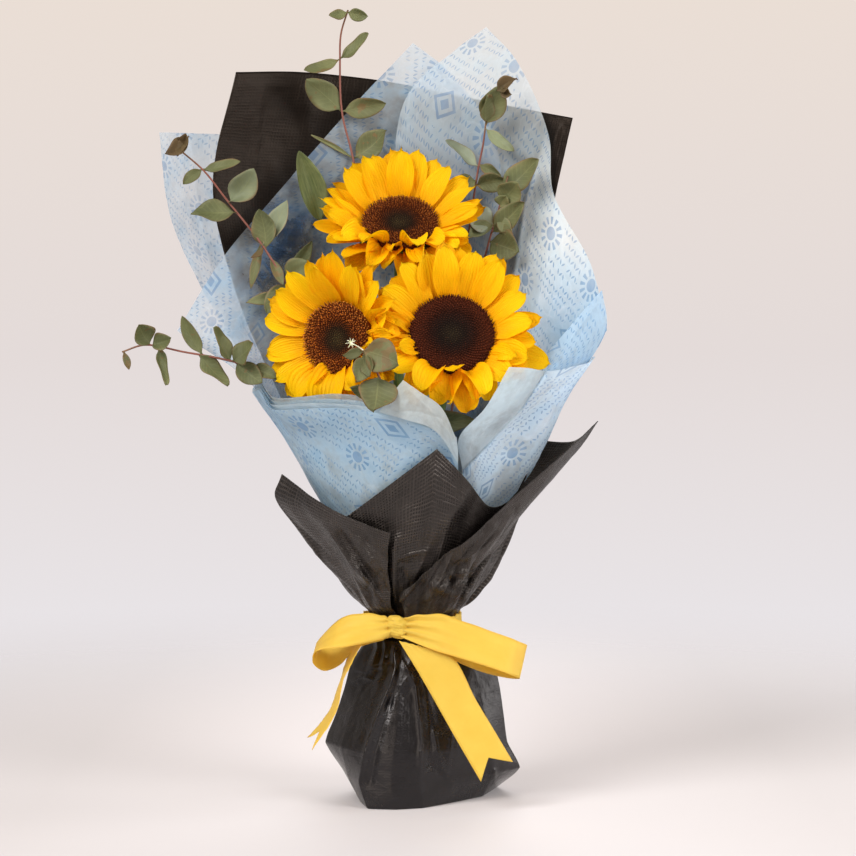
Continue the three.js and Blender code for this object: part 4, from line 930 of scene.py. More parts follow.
def crease(V, line, amp, width, kind="ridge", ymax=1e9, ends=0.12):
    """Pushes the sheet towards the front (amp > 0) along a line drawn on the front elevation."""
    px, py = project(V)
    d, side, al = seg_dist(px, py, line)
    fade = smooth(al, 0, ends) * smooth(1 - al, 0, ends) if ends > 0 else 1.0
    if kind == "ridge":
        h = np.exp(-d / width)
    elif kind == "soft":
        h = np.exp(-((d / width) ** 2))
    else:  # step: full on the right-hand side, dying away
        h = np.where(side > 0, np.exp(-d / (width * 4)), 0) * smooth(d, 0, width * 0.6)
    h = h * fade * (V[..., 1] < ymax) * amp
    return V - FWD * h[..., None]


def side_of(V, line):
    """Signed distance from a line on the front elevation, positive on its right-hand side."""
    px, py = project(V)
    d, side, _ = seg_dist(px, py, line)
    return d * side


def relief(V, amp, size, seed, octaves=4, ridged=False, z0=134.0, z1=210.0, stretch=(1, 1, 1)):
    N = grid_normals(V)
    k = smooth(V[..., 2], z0, z1)
    h = fbm(V * np.asarray(stretch) / size, octaves, 0.5, seed, ridged)
    return V + N * (h * k * amp)[..., None]


def facets(V, amp, size, seed, mask):
    """Flat crumples that meet in sharp folds, size (across, along) in millimetres."""
    q = arc_uv(V)
    w1 = vnoise(n3(q[..., 0] / size[0] * 0.6, q[..., 1] / size[1] * 0.6, seed * 1.3), 31)
    w2 = vnoise(n3(q[..., 0] / size[0] * 0.6, q[..., 1] / size[1] * 0.6, seed * 2.9), 33)
    x = q[..., 0] / size[0] + 0.6 * w1 + 0.35 * q[..., 1] / size[1]
    y = q[..., 1] / size[1] + 0.6 * w2
    i, j = np.floor(x), np.floor(y)
    fx, fy = x - i, y - j
    i, j = i.astype(int), j.astype(int)
    z = np.zeros_like(i)
    h00, h10 = _hash(i, j, z, seed), _hash(i + 1, j, z, seed)
    h01, h11 = _hash(i, j + 1, z, seed), _hash(i + 1, j + 1, z, seed)
    lo = h00 + (h10 - h00) * fx + (h01 - h00) * fy
    hi = h11 + (h01 - h11) * (1 - fx) + (h10 - h11) * (1 - fy)
    h = np.where(fx + fy < 1, lo, hi)
    h = h - h.mean()
    return V + grid_normals(V) * (h * mask * amp)[..., None]


def near_tie(V, top=215.0):
    """Strongest a little above the tie, gone at the free edges."""
    z = V[..., 2]
    return smooth(z, 134, 158) * (1 - smooth(z, 180, top)) + 0.12 * smooth(z, 134, 158)


def sharpen(cage, *cols, eps=0.05):
    """Repeats a column of the cage on both sides of itself so that the sheet is creased there."""
    out = []
    for row in cage:
        r = []
        for j, q in enumerate(row):
            if j in cols:
                r += [q + (row[j - 1] - q) * eps, q, q + (row[j + 1] - q) * eps]
            else:
                r.append(q)
        out.append(np.array(r))
    return out


def us_for(n_cols, cols, n, eps=0.05):
    """Sampling positions for a sharpened cage: few in the short spans beside each creased column."""
    total = n_cols + 2 * len(cols)
    knots, k = [], 0
    for j in range(n_cols):
        if j in cols:
            knots += [k, k + 1, k + 2]
            k += 3
        else:
            knots.append(k)
            k += 1
    out = []
    for i in range(total - 1):
        j0 = sum(1 for q in range(n_cols) if (q + 2 * sum(c < q for c in cols)) <= i)
        short = any((c + 2 * sum(d < c for d in cols)) <= i < (c + 2 * sum(d < c for d in cols)) + 2 for c in cols)
        m = 2 if short else max(int(n / (n_cols - 1)), 3)
        out += list(i + np.arange(m) / m)
    out.append(total - 1)
    return np.array(out) / (total - 1)


WRAP_BACK = [
    L([236, 72, 48], [300, 72, 72], [377, 80, 86], [450, 94, 88], [515, 107, 72], [573, 118, 48]),
    L([213, 184, 40], [280, 190, 66], [360, 195, 81], [430, 195, 84], [500, 195, 71], [556, 193, 48]),
    L([236, 290, 30], [290, 300, 57], [355, 300, 72], [425, 300, 75], [490, 300, 63], [540, 290, 40]),
    L([290, 415, 18], [322, 420, 40], [370, 420, 54], [422, 420, 57], [468, 420, 47], [504, 415, 26]),
    L([336, 520, 6], [352, 520, 25], [384, 520, 37], [422, 520, 39], [456, 520, 30], [480, 515, 11]),
    *neck(25.6, 182, -2, 6),
]
WRAP_FLAP = [
    L([347, 516, -52], [392, 483, -66], [437, 449, -80], [465, 478, -72], [490, 507, -56], [512, 500, -42], [530, 470, -24]),
    L([358, 545, -46], [393, 528, -57], [430, 515, -66], [462, 522, -58], [484, 532, -44], [500, 528, -32], [511, 515, -18]),
    L([370, 578, -36], [394, 572, -43], [420, 568, -47], [446, 568, -40], [462, 568, -32], [476, 562, -24], [488, 550, -12]),
    *neck(27.6, 225, 345, 7),
]
WRAP_LEFT = [
    L([391, 533, -64], [355, 520, -60], [318, 501, -48], [281, 474, -20], [305, 507, 20], [356, 490, 56], [420, 470, 68]),
    L([389, 545, -60], [354, 533, -55], [316, 517, -42], [275, 498, -14], [303, 517, 22], [356, 502, 54], [420, 490, 62]),
    L([388, 566, -52], [358, 560, -46], [335, 551, -32], [312, 545, -6], [326, 546, 24], [362, 535, 49], [412, 530, 56]),
    L([390, 590, -42], [368, 588, -36], [353, 584, -22], [346.5, 588, -2], [354, 587, 20], [380, 582, 35], [412, 580, 40]),
    L([391, 607, -37], [376, 606, -31.5], [366, 605, -18], [362.5, 605, -1], [367, 604, 16], [384, 602, 29], [412, 600, 34]),
    *neck(30.5, 252, 86, 7),
]
WRAP_RIGHT = [
    L([399, 594, -42], [428, 571, -52], [455, 549, -60], [490, 519, -60], [522, 490, -52], [560, 457, -38], [598, 421, -14], [574, 441, 12], [530, 440, 40], [480, 444, 63], [400, 450, 79]),
    L([400, 600, -40], [428, 582, -47], [454, 564, -53], [486, 540, -52], [514, 516, -44], [546, 486, -30], [576, 453, -10], [556, 463, 14], [520, 464, 39], [474, 470, 60], [405, 478, 74]),
    L([402, 606, -37], [427, 595, -41], [450, 582, -45], [474, 566, -43], [496, 547, -35], [514, 524, -22], [528, 503, -4], [516, 505, 15], [494, 506, 34], [462, 508, 52], [410, 514, 64]),
    L([404, 611, -34.5], [424, 604, -36.5], [444, 597, -37], [460, 589, -33], [473, 579, -26], [484, 572, -15], [492.5, 570, 0], [486, 570, 14], [474, 569, 27], [452, 570, 39], [412, 572, 48]),
    L([404.5, 621, -29.6], [422, 617, -29.9], [438, 613, -30.0], [450, 609, -27.5], [459, 606, -20], [464, 604, -10], [467, 603, 1], [464, 603, 13], [456, 603, 23], [438, 604, 32], [412, 606, 37]),
    *neck(32.2, 256, 448, 11),
]
TISSUE_BACK_LEFT = [
    L([413, 43, 70], [342, 118, 58], [273, 198, 40], [224, 256, 20], [177, 331, -12]),
    L([452, 75, 73], [385, 145, 69], [320, 215, 52], [262, 285, 26], [206, 350, -12]),
    L([496, 145, 63], [430, 205, 69], [350, 262, 56], [290, 320, 28], [243, 376, -12]),
    L([498, 290, 54], [435, 320, 61], [352, 340, 50], [303, 370, 25], [265, 402, -12]),
    L([466, 465, 34], [424, 470, 43], [378, 470, 37], [346, 472, 17], [318, 478, -8]),
    *neck(21.1, 60, 185, 5),
]
TISSUE_BACK_RIGHT = [
    L([486, 27, 56], [516, 60, 54], [548, 134, 47], [553, 193, 40], [590, 262, 18], [607, 330, 2]),
    L([455, 50, 62], [486, 92, 60], [522, 165, 53], [534, 220, 43], [562, 290, 22], [592, 350, 3]),
    L([405, 100, 64], [440, 165, 62], [488, 220, 56], [506, 270, 46], [533, 330, 24], [556, 385, 4]),
    L([395, 270, 56], [430, 290, 56], [468, 320, 49], [487, 350, 37], [511, 390, 18], [529, 430, 4]),
    L([402, 440, 32], [424, 445, 32], [446, 455, 28], [462, 465, 22], [478, 475, 12], [489, 490, 3]),
    *neck(18.8, 100, -8, 6),
]
TISSUE_OUTER_LEFT = [
    L([160, 132, 56], [189, 133, 72], [240, 136, 89], [300, 150, 100]),
    L([170, 215, 44], [200, 222, 60], [250, 230, 78], [305, 240, 92]),
    L([200, 284, 33], [232, 295, 50], [275, 305, 67], [320, 315, 82]),
    L([268, 400, 16], [292, 410, 35], [322, 420, 50], [352, 425, 61]),
    L([330, 520, 1], [342, 525, 17], [358, 530, 31], [378, 530, 41]),
    *neck(27.7, 186, 105, 4),
]
TISSUE_FRONT_LEFT = [
    L([252, 392, -7], [259.5, 391, -26], [272, 409, -52], [302, 409, -72], [339, 408, -82], [379, 413, -84], [426, 427, -82], [457, 441, -76]),
    L([280, 432, -6], [285, 432, -24], [300, 438, -44], [325, 440, -60], [355, 441, -70], [390, 445, -74], [428, 450, -72], [458, 458, -68]),
    L([311, 487, -4], [314, 487, -20], [326, 492, -35], [345, 495, -46], [368, 497, -54], [396, 499, -57], [428, 499, -56], [456, 500, -50]),
    L([344, 545, 0], [345, 545, -14], [353, 548, -23], [366, 550, -31], [382, 551, -35], [402, 552, -38], [426, 552, -37], [448, 550, -33]),
    *neck(23.2, 184, 318, 8),
]
TISSUE_LAPEL = [
    L([403, 380, -92], [420, 392, -95], [441, 407, -93], [456, 438, -79]),
    L([391, 395, -88], [413, 405, -91], [438, 418, -88], [458, 450, -74]),
    L([379, 412, -84.5], [406, 420, -86], [434, 430, -83], [458, 464, -68.8]),
]
TISSUE_FRONT_RIGHT = [
    L([509, 367, -74], [528, 368, -77], [547, 371, -76], [572, 367, -58], [590, 362, -34], [595, 357, -12], [590, 357, 6]),
    L([485, 408, -80], [504, 409, -81], [522, 408, -75], [544, 402, -57], [562, 402, -34], [568, 398, -13], [560, 398, 6]),
    L([459, 438, -72], [477, 442, -74], [492, 441, -70], [516, 437, -53], [542, 440, -31], [550, 436, -12], [543, 437, 8]),
    L([462, 476, -58], [472, 477, -58], [484, 478, -55], [500, 478, -44], [520, 480, -26], [529, 477, -10], [520, 478, 6]),
    L([444, 545, -30], [452, 545, -30], [460, 545, -29], [468, 543, -23], [476, 541, -13], [480, 540, -4], [480, 540, 1]),
    *neck(20.9, 292, 357, 7),
]
TISSUE_POCKET = [
    L([602, 290, -6], [582, 312, -18], [562, 336, -29], [543, 357, -38]),
    L([606, 328, -8], [588, 342, -22], [567, 356, -36], [543, 370, -48]),
    L([588, 362, -10], [570, 376, -24], [550, 388, -38], [528, 398, -50]),
    L([556, 405, -9], [542, 412, -20], [526, 418, -32], [508, 424, -42]),
]


def mesh_area(ob):
    return sum(p.area for p in ob.data.polygons)


def declare(ob, V, layers=1.0):
    uv = arc_uv(V)
    w, l = float(uv[..., 0].max()) / 1000, float(uv[..., 1].max()) / 1000
    a = mesh_area(ob) / layers
    a = min(max(a, 0.31 * w * l), w * l)
    print("SHEET", ob.name, round(w * 1000), "x", round(l * 1000), "mm, area", round(a * 1e4, 1), "cm2")


def rows(cage, n, dense=None):
    return surf(cage, n[0], n[1])


def dark_sheet(name, cage, nu, nv, seed, fns=(), relief_amp=1.3, corners=(), mat=None, crumple=0.0):
    V = surf(sharpen(cage, *corners), nu, nv, us_for(len(cage[0]), corners, nu)) if corners else surf(cage, nu, nv)
    V = pleats(V)
    V = relief(V, relief_amp, 62, seed, 3)
    V = relief(V, 0.55, 26, seed + 3, 4, ridged=True, z0=134, z1=190)
    if crumple:
        V = facets(V, crumple, (18, 29), seed, near_tie(V))
        V = facets(V, crumple * 0.2, (8, 13), seed + 9, near_tie(V, 200.0))
    for f in fns:
        V = f(V)
    b = Build()
    b.thick_grid(V, 0.45, arc_uv(V))
    ob = finish_piece(b.make(name), mat or M_WRAP, "wrap", name)
    declare(ob, V, 2.0)
    return V


def C(line, amp, width, kind="ridge", ymax=1e9, ends=0.12):
    return lambda V: crease(V, line, amp, width, kind, ymax, ends)


dark_sheet("wrap_back_sheet", WRAP_BACK, 130, 200, 11, [
    C([(262, 84), (258, 130), (250, 190)], 0.8, 3.0), C([(232, 84), (300, 86), (380, 92), (470, 106), (560, 124)], 0.5, 2.5, ends=0.02),
    C([(560, 122), (550, 160), (543, 195)], 2.4, 2.5), C([(567, 122), (558, 150), (551, 180)], -1.4, 2.0),
    C([(300, 74), (322, 200), (350, 380), (372, 500)], 1.3, 8, "soft", ends=0.02), C([(440, 92), (436, 220), (428, 360), (416, 500)], -1.5, 9, "soft", ends=0.02),
    C([(500, 104), (486, 240), (462, 400), (440, 500)], 1.4, 7, "soft", ends=0.02), C([(368, 80), (378, 250), (390, 420)], 0.8, 4, "ridge", ends=0.05),
    C([(250, 210), (330, 225), (410, 216), (545, 232)], 0.7, 3, "ridge", ends=0.05), C([(300, 330), (380, 345), (520, 326)], 0.8, 3.5, "ridge", ends=0.05),
], mat=M_WRAP_BACK_SHADED)
dark_sheet("wrap_front_flap", WRAP_FLAP, 150, 130, 23, [
    lambda V: V - FWD * (-5.5 * smooth(side_of(V, [(470, 484), (450, 518), (441, 548), (437, 572), (418, 600)]), -1, 15) * smooth(V[..., 2], 150, 178))[..., None],
    C([(470, 488), (450, 520), (441, 548), (437, 575)], 1.0, 3.0, "ridge", ends=0.2),
    C([(347, 516), (372, 522), (391, 533)], 0.5, 3.0, "soft", ends=0.2),
    C([(398, 530), (394, 548), (393, 576), (396, 612)], 4.2, 4.6, "soft", ends=0.24),
    C([(404, 540), (405, 560), (405, 590)], -1.3, 3.0, "ridge"),
    C([(396, 560), (408, 555), (420, 552), (432, 549)], 2.0, 2.4), C([(397, 562), (408, 564), (425, 560)], -1.2, 2.6),
    C([(400, 566), (410, 584), (404, 604)], -1.8, 3.5),
    C([(437, 449), (433, 500), (430, 552)], 3.0, 15, "soft", ends=0.3), C([(437, 449), (434, 500), (430, 545)], 0.5, 3, "ridge"),
], 0.7, corners=(2,), crumple=1.8)
dark_sheet("wrap_left_wing", WRAP_LEFT, 170, 120, 37, [
    C([(330, 512), (354, 552), (386, 604)], -2.0, 5, "ridge", 0, ends=0.2), C([(343, 520), (364, 556), (388, 600)], 1.6, 4, "soft", 0, ends=0.2),
    C([(350, 560), (372, 585), (386, 604)], 1.4, 2.5, "ridge", 0), C([(357, 590), (375, 592), (384, 607)], -1.3, 2.2, "ridge", 0),
    C([(360, 574), (370, 580), (376, 596)], 1.6, 1.8, "ridge", 0), C([(350, 572), (362, 566), (378, 556)], 1.2, 2.0, "ridge", 0),
    C([(366, 590), (374, 578), (384, 568)], -1.3, 2.0, "ridge", 0), C([(340, 552), (352, 548), (366, 540)], 0.9, 2.6, "ridge", 0),
    C([(322, 528), (344, 556), (372, 600)], 1.8, 4.5, "soft", 0), C([(336, 528), (360, 560), (382, 596)], -2.0, 4.5, "soft", 0),
    C([(356, 534), (374, 562), (386, 590)], 1.4, 3.5, "soft", 0),
], 0.8, corners=(3,), crumple=2.7)
dark_sheet("wrap_right_wing", WRAP_RIGHT, 210, 120, 41, [
    C([(448, 576), (462, 573), (476, 571), (492, 560)], 3.0, 2.2, "ridge", 0), C([(440, 600), (450, 586), (470, 584), (482, 580)], 1.8, 2.0, "ridge", 0), C([(424, 606), (432, 590), (446, 584)], 1.5, 2.0, "ridge", 0),
    C([(456, 560), (470, 556), (486, 545), (497, 535)], 1.6, 2.4, "ridge", 0), C([(462, 560), (470, 571), (466, 590)], -1.6, 2.2, "ridge", 0), C([(446, 580), (462, 580), (480, 576)], -1.5, 2.4, "ridge", 0),
    C([(448, 588), (466, 562), (500, 528)], -1.4, 4, "ridge", 0), C([(446, 575), (452, 582), (450, 592)], -1.4, 2.0, "ridge", 0),
    C([(430, 590), (452, 574), (462, 566)], 1.2, 2.5, "ridge", 0), C([(470, 566), (487, 550), (506, 525)], 1.2, 3.0, "ridge", 0),
    C([(590, 428), (548, 470), (512, 506)], 0.8, 4, "ridge", 0),
    C([(500, 524), (484, 548), (452, 566)], 2.6, 5.5, "soft", 0), C([(506, 540), (488, 556), (462, 584)], -2.4, 4.5, "soft", 0),
    C([(430, 584), (452, 594), (470, 594)], 2.0, 4.0, "soft", 0), C([(520, 505), (500, 512), (478, 534)], -1.8, 5.0, "soft", 0),
    C([(486, 566), (474, 576), (462, 600)], 1.6, 2.6, "ridge", 0),
], 0.8, corners=(6,), crumple=3.8)

M_TISSUE_BACK = mat_tissue("tissue_back", 0.52, 0.85, -38, "#eceeec", "#9fc4e0", inkc="#4176ab", inkw=0.8, vary=0.34)
M_TISSUE_RIGHT = mat_tissue("tissue_right", 0.52, 0.85, 14, "#eceeec", "#c2d8e4", (17, 5), inkc="#4176ab", inkw=0.8, vary=0.2)
M_TISSUE_FRONT = mat_tissue("tissue_front", 0.97, 1.0, -32, "#c8dce7", "#9cc3df", (8, 3), "#dde7ea", inkc="#4c86bb", inkw=0.66)
M_TISSUE_FOLD = mat_tissue("tissue_fold", 0.95, 1.0, 62, "#e2f0fa", "#bedcf4", (3, 12), "#b9cad3", inkc="#4c86bb", inkw=0.66)
M_TISSUE_PLAIN = mat_tissue("tissue_plain", 0.93, 0.0, 0, "#d2dcdb", "#bccfd8")


def tissue_sheet(name, cage, nu, nv, seed, mat, fns=(), amp=1.1, crisp=0.7, extra=None, z1=210.0, corners=(), plain=None, fold=None, low=None, blue=None):
    V = surf(sharpen(cage, *corners), nu, nv, us_for(len(cage[0]), corners, nu)) if corners else surf(cage, nu, nv)
    V = pleats(V, 270)
    V = relief(V, amp, 48, seed, 3, z1=z1)
    V = relief(V, crisp, 22, seed + 5, 4, ridged=True, z1=z1)
    for f in fns:
        V = f(V)
    b = Build()
    b.open_grid(V, arc_uv(V), plain=plain(V) if plain else 0.0, fold=fold(V) if fold else 0.0, low=low(V) if low else 0.0, blue=blue(V) if blue else 0.0)
    if extra:
        extra(b, V)
    ob = finish_piece(b.make(name), mat, "tissue", name)
    declare(ob, V, 1.0)
    return V


def turned_in(V):
    """Right of this line the sheet is turned over on itself and lies double."""
    px, py = project(V)
    x = np.interp(py, [125, 163, 205, 262, 330, 400, 470], [546, 536, 524, 516, 503, 488, 474])
    return smooth(px - x, -1.0, 3.5) * smooth(py, 120, 165)


def collar_painted_shade(V):
    """Painted shade: deeper blue low on the right, towards the collar, where the sheet curls inward."""
    px, py = project(V)
    return smooth(py, 225, 330) * smooth(px, 500, 560)


def fold_painted_shade(V):
    """Painted shade deep in the fold between the two front sheets."""
    px, py = project(V)
    return 1.5 * np.exp(-(((px - 474) / 26) ** 2) - ((py - 428) / 26) ** 2)


def shadowed(V):
    """Painted shade: left of the upper head, where the sheet lies slack over the dark paper, and a smaller patch to the
    right of the head.
    """
    px, py = project(V)
    return np.exp(-(((px - 288) / 42) ** 2) - ((py - 250) / 75) ** 2) + 0.7 * np.exp(-(((px - 480) / 22) ** 2) - ((py - 205) / 60) ** 2)


tissue_sheet("tissue_back_left", TISSUE_BACK_LEFT, 130, 190, 51, M_TISSUE_BACK, [
    C([(413, 43), (330, 190), (250, 340)], 1.4, 6), C([(300, 170), (330, 260), (360, 400)], -1.2, 8),
    C([(230, 262), (290, 330), (340, 430)], 1.2, 5),
], 1.6, 1.0, blue=shadowed)
tissue_sheet("tissue_back_right", TISSUE_BACK_RIGHT, 130, 190, 63, M_TISSUE_RIGHT, [
    C([(536, 163), (524, 205), (516, 262), (500, 330)], 2.2, 3.5), C([(486, 27), (500, 120), (506, 200)], 1.0, 5),
    C([(600, 287), (560, 330), (520, 400)], -1.2, 4), C([(560, 200), (560, 260), (545, 330)], 1.2, 5),
], 1.6, 1.0, fold=turned_in, low=collar_painted_shade, blue=lambda V: 0.6 * shadowed(V) + fold_painted_shade(V))
tissue_sheet("tissue_outer_left", TISSUE_OUTER_LEFT, 90, 180, 71, M_TISSUE_BACK, [
    C([(190, 133), (198, 200), (214, 280)], 1.0, 4),
], 1.6, 0.8)


def folded_edge(b, V):
    """The top of the front sheet is folded over in leaves that stand one behind the other."""
    uv = arc_uv(V)
    for k, (up, back, cut) in enumerate(((3.2, 1.3, 0.30), (6.2, 2.8, 0.26), (8.6, 4.6, 0.2))):
        m = int(V.shape[0] * cut)
        W = V[:m].copy()
        u = np.linspace(0, 1, V.shape[1])
        lift = up * (0.25 + 0.75 * np.sin(np.pi * np.clip(u * 1.02, 0, 1)) ** 0.7) * (1 + 0.3 * vnoise(n3(u * 5, k * 3.1)))
        W += -FWD * 0 + np.array([0, 1, 0]) * back
        W[..., 2] += lift[None, :]
        b.open_grid(W, uv[:m] + 31.0 * (k + 1), plain=1.0 if k == 0 else 0.55)


tissue_sheet("tissue_front_left", TISSUE_FRONT_LEFT, 150, 130, 83, M_TISSUE_FRONT, [
    C([(432, 425), (457, 441)], 1.4, 3, ends=0.0), C([(300, 440), (345, 500)], 0.8, 5), C([(379, 430), (372, 470), (390, 510)], -0.8, 6),
    C([(262, 400), (300, 470), (345, 516)], 1.0, 4),
], 0.6, 0.35, folded_edge)
tissue_sheet("tissue_lapel", TISSUE_LAPEL, 60, 40, 95, M_TISSUE_PLAIN, [
    C([(403, 384), (430, 410), (455, 440)], 0.8, 4), C([(385, 410), (420, 412), (446, 420)], -0.8, 3),
], 0.5, 0.3)


def inner_face(V):
    """The strip left of the long fold shows the sheet's plain side."""
    px, py = project(V)
    line = np.array([(546, 371), (522, 408), (491, 441), (459, 474)], float)
    x = np.interp(py, line[:, 1], line[:, 0], left=546, right=455)
    return (1 - smooth(px - x, -1.0, 1.5)) * (py < 476)


tissue_sheet("tissue_front_right", TISSUE_FRONT_RIGHT, 160, 150, 101, M_TISSUE_FOLD, [
    C([(546, 371), (522, 408), (491, 441), (459, 474)], -4.0, 2.2, ends=0.02), C([(556, 378), (530, 425), (500, 470)], 1.6, 5),
    C([(575, 372), (548, 420), (515, 480)], -1.2, 3), C([(566, 374), (538, 424), (506, 482)], 0.9, 2.4),
], 0.6, 0.35, plain=inner_face)
# the pocket is given painted shade all over through its low mask
tissue_sheet("tissue_pocket", TISSUE_POCKET, 80, 80, 113, M_TISSUE_FOLD, [
    C([(600, 300), (577, 330), (550, 370)], 1.4, 3),
], 0.7, 0.4, low=lambda V: np.full(V.shape[:2], 0.55))

# ------------------------------------------------------------------ wrapped foot
FOOT = [
    (0, [(-43, -43), (-23, -46), (-3.5, -40), (17, -20), (40, 5), (52, 43), (40, 47), (10, 47), (-20, 47), (-42, 38), (-50, 5), (-48, -22)]),
    (20, [(-48.5, -41), (-26, -45.5), (-5.6, -42), (17, -30), (47, -9), (67, 12), (56, 42), (15, 50), (-25, 50), (-58, 34), (-61.5, 2), (-57, -22)]),
    (40, [(-44.5, -42), (-24, -45), (-4, -41.5), (21, -32), (46, -14), (57.5, 4), (52, 34), (16, 48), (-28, 48), (-64, 30), (-74.6, 2), (-62, -20)]),
    (60, [(-38.8, -40), (-22, -41.5), (-5.6, -38.5), (20, -31), (42, -15), (54.8, 1), (48, 28), (16, 43), (-28, 43), (-58, 26), (-67, 2), (-56, -18)]),
    (80, [(-30, -37), (-20, -37.5), (-9, -35), (15.5, -30), (38, -15), (52, 0), (45, 24), (14, 38), (-26, 38), (-51, 24), (-60.6, 0), (-48, -18)]),
    (98, [(-23, -34), (-18.5, -34), (-12.6, -33.5), (8.5, -28), (31, -15), (47.5, 0), (39, 20), (10, 32), (-24, 32), (-47, 20), (-56, 0), (-42, -17)]),
    (110, [(-24, -30), (-19, -28), (-13, -30), (4, -26.5), (22, -14), (33, 0), (26, 17), (4, 28), (-22, 28), (-39, 17), (-48, 0), (-36, -17)]),
]
_ea = np.radians([247, 258, 268, 292, 325, 0, 38, 65, 112, 145, 180, 218])
FOOT.append((117.4, [(WAIST_X + 31.5 * math.cos(a), 28.4 * math.sin(a)) for a in _ea]))


def closed_ring(pts, n, sharp):
    pts = np.asarray(pts, float)
    ext = np.concatenate([pts[-3:], pts, pts[:4]])
    m = len(pts)
    ts = (3 + np.arange(n) / n * m) / (len(ext) - 1)
    s = spl(ext, ts)
    x = np.arange(n) / n * m
    i = x.astype(int) % m
    f = (x - np.floor(x))[:, None]
    l = pts[i] * (1 - f) + pts[(i + 1) % m] * f
    return s * (1 - sharp) + l * sharp


def make_foot():
    n, nz = 288, 150
    lv = np.stack([closed_ring(p, n, 0.84) for _, p in FOOT])
    zs = np.array([z for z, _ in FOOT], float)
    zz = np.linspace(0, 117.4, nz)
    # heights are read along the list so that the rings stay smooth
    idx = np.interp(zz, zs, np.arange(len(zs))) / (len(zs) - 1)
    ring = np.concatenate([lv, np.repeat(zs[:, None], n, 1)[..., None]], -1)
    V = spl(ring, idx)
    q = idx * (len(zs) - 1)
    i0 = np.minimum(q.astype(int), len(zs) - 2)
    f0 = (q - i0)[:, None, None]
    V = 0.4 * V + 0.6 * (ring[i0] * (1 - f0) + ring[i0 + 1] * f0)
    V[..., 2] = zz[:, None]
    # rounded lower edge
    c = np.array([2.0, 2.0])
    k = 1 - 0.018 * np.exp(-zz / 1.2)
    V[..., :2] = c + (V[..., :2] - c) * k[:, None, None]
    N = grid_normals(V, wrap=True)
    out = np.sign((N[..., :2] * (V[..., :2] - c)).sum(-1).mean())
    N = N * out
    kz = smooth(zz, 1, 14)[:, None] * smooth(117.4 - zz, 0, 26)[:, None]
    h = 0.7 * fbm(V / np.array([40, 40, 60]), 3, 0.5, 7)
    h += 0.45 * fbm(V / np.array([19, 19, 26]), 3, 0.5, 19, ridged=True) * (0.3 + 0.7 * vnoise(V / 40, 3))
    V = V + N * (h * kz)[..., None]
    # gathers under the tie run down and fade out
    a = np.arctan2(V[..., 1], V[..., 0] - WAIST_X)
    g = np.abs(((a / (2 * math.pi) * 17 + 0.3 * vnoise(n3(np.cos(a) * 2, np.sin(a) * 2, V[..., 2] * 0.02), 9)) % 1) * 2 - 1) * 2 - 1
    V = V + N * (g * np.interp(zz, [80, 96, 106, 114, 117.4], [0, 0.2, 0.9, 0.6, 0])[:, None])[..., None]
    for line, amp, width, kind in (
        ([(397.8, 655), (393, 676), (379.6, 709), (366, 747), (358, 791)], 3.4, 3.4, "ridge"),
        ([(394, 690), (387, 714), (376, 750), (369, 790)], -1.4, 3.2, "soft"),
        ([(400, 664), (397, 685), (386, 712)], -1.2, 3.0, "soft"),
        ([(352, 668), (366, 672), (381, 664), (392, 661)], 1.3, 1.8, "ridge"), ([(349, 682), (362, 676), (376, 681), (388, 672)], 1.1, 1.8, "ridge"),
        ([(356, 700), (366, 688), (378, 676)], -1.0, 2.4, "ridge"), ([(398, 690), (408, 676), (424, 684)], 0.9, 2.0, "ridge"),
        ([(402, 700), (410, 690), (416, 678)], -0.7, 2.0, "ridge"),
        ([(399, 653), (416, 686), (418.6, 709), (422, 742), (419, 775)], 2.0, 2.6, "ridge"),
        ([(425, 690), (428, 712), (431, 742), (428, 772)], -1.2, 3.2, "soft"),
        ([(360, 664), (378, 667), (396, 664)], 1.0, 2.2, "ridge"), ([(352, 690), (366, 684), (384, 668)], -0.8, 2.5, "ridge"),
        ([(386, 655), (392, 664), (402, 666)], -1.0, 2.0, "ridge"),
        ([(432.7, 727), (438, 752), (446, 779)], 1.5, 2.0, "ridge"), ([(452, 727), (450, 755), (446, 779)], 1.2, 2.0, "ridge"),
        ([(426, 762), (438, 772), (446, 780)], -0.9, 2.0, "ridge"),
        ([(420, 672), (430, 700), (436, 730)], -1.1, 3.0, "ridge"), ([(494.9, 767), (494, 790)], 1.5, 2.2, "ridge"),
        ([(325, 747), (342, 770), (357, 792)], 1.2, 2.5, "ridge"), ([(472, 690), (490, 725), (500, 750)], 1.0, 4.0, "ridge"),
    ):
        px, py = project(V)
        d, _, al = seg_dist(px, py, line)
        hh = np.exp(-d / width) if kind == "ridge" else np.exp(-((d / width) ** 2))
        hh = hh * smooth(al, 0, 0.15) * smooth(1 - al, 0, 0.15) * (V[..., 1] < 8) * smooth(V[..., 2], 0, 6)
        V = V - np.array([0, 1, 0]) * (hh * amp)[..., None]
    # underside: the rim draws in to the middle, flat on the floor
    steps = np.linspace(0.03, 1, 16)
    under = np.stack([np.concatenate([c + (V[0, :, :2] - c) * s, np.zeros((n, 1))], -1) for s in steps[:-1]])
    G = np.concatenate([under, V])
    uvw = np.zeros(G.shape[:2] + (2,))
    per = np.concatenate([[0], np.cumsum(np.linalg.norm(np.diff(lv[3], axis=0), axis=1))])
    lens = np.concatenate([[0], np.cumsum(np.linalg.norm(np.diff(G, axis=0), axis=-1).mean(1))])
    uvw[..., 0] = per[None, :]
    uvw[..., 1] = lens[:, None]
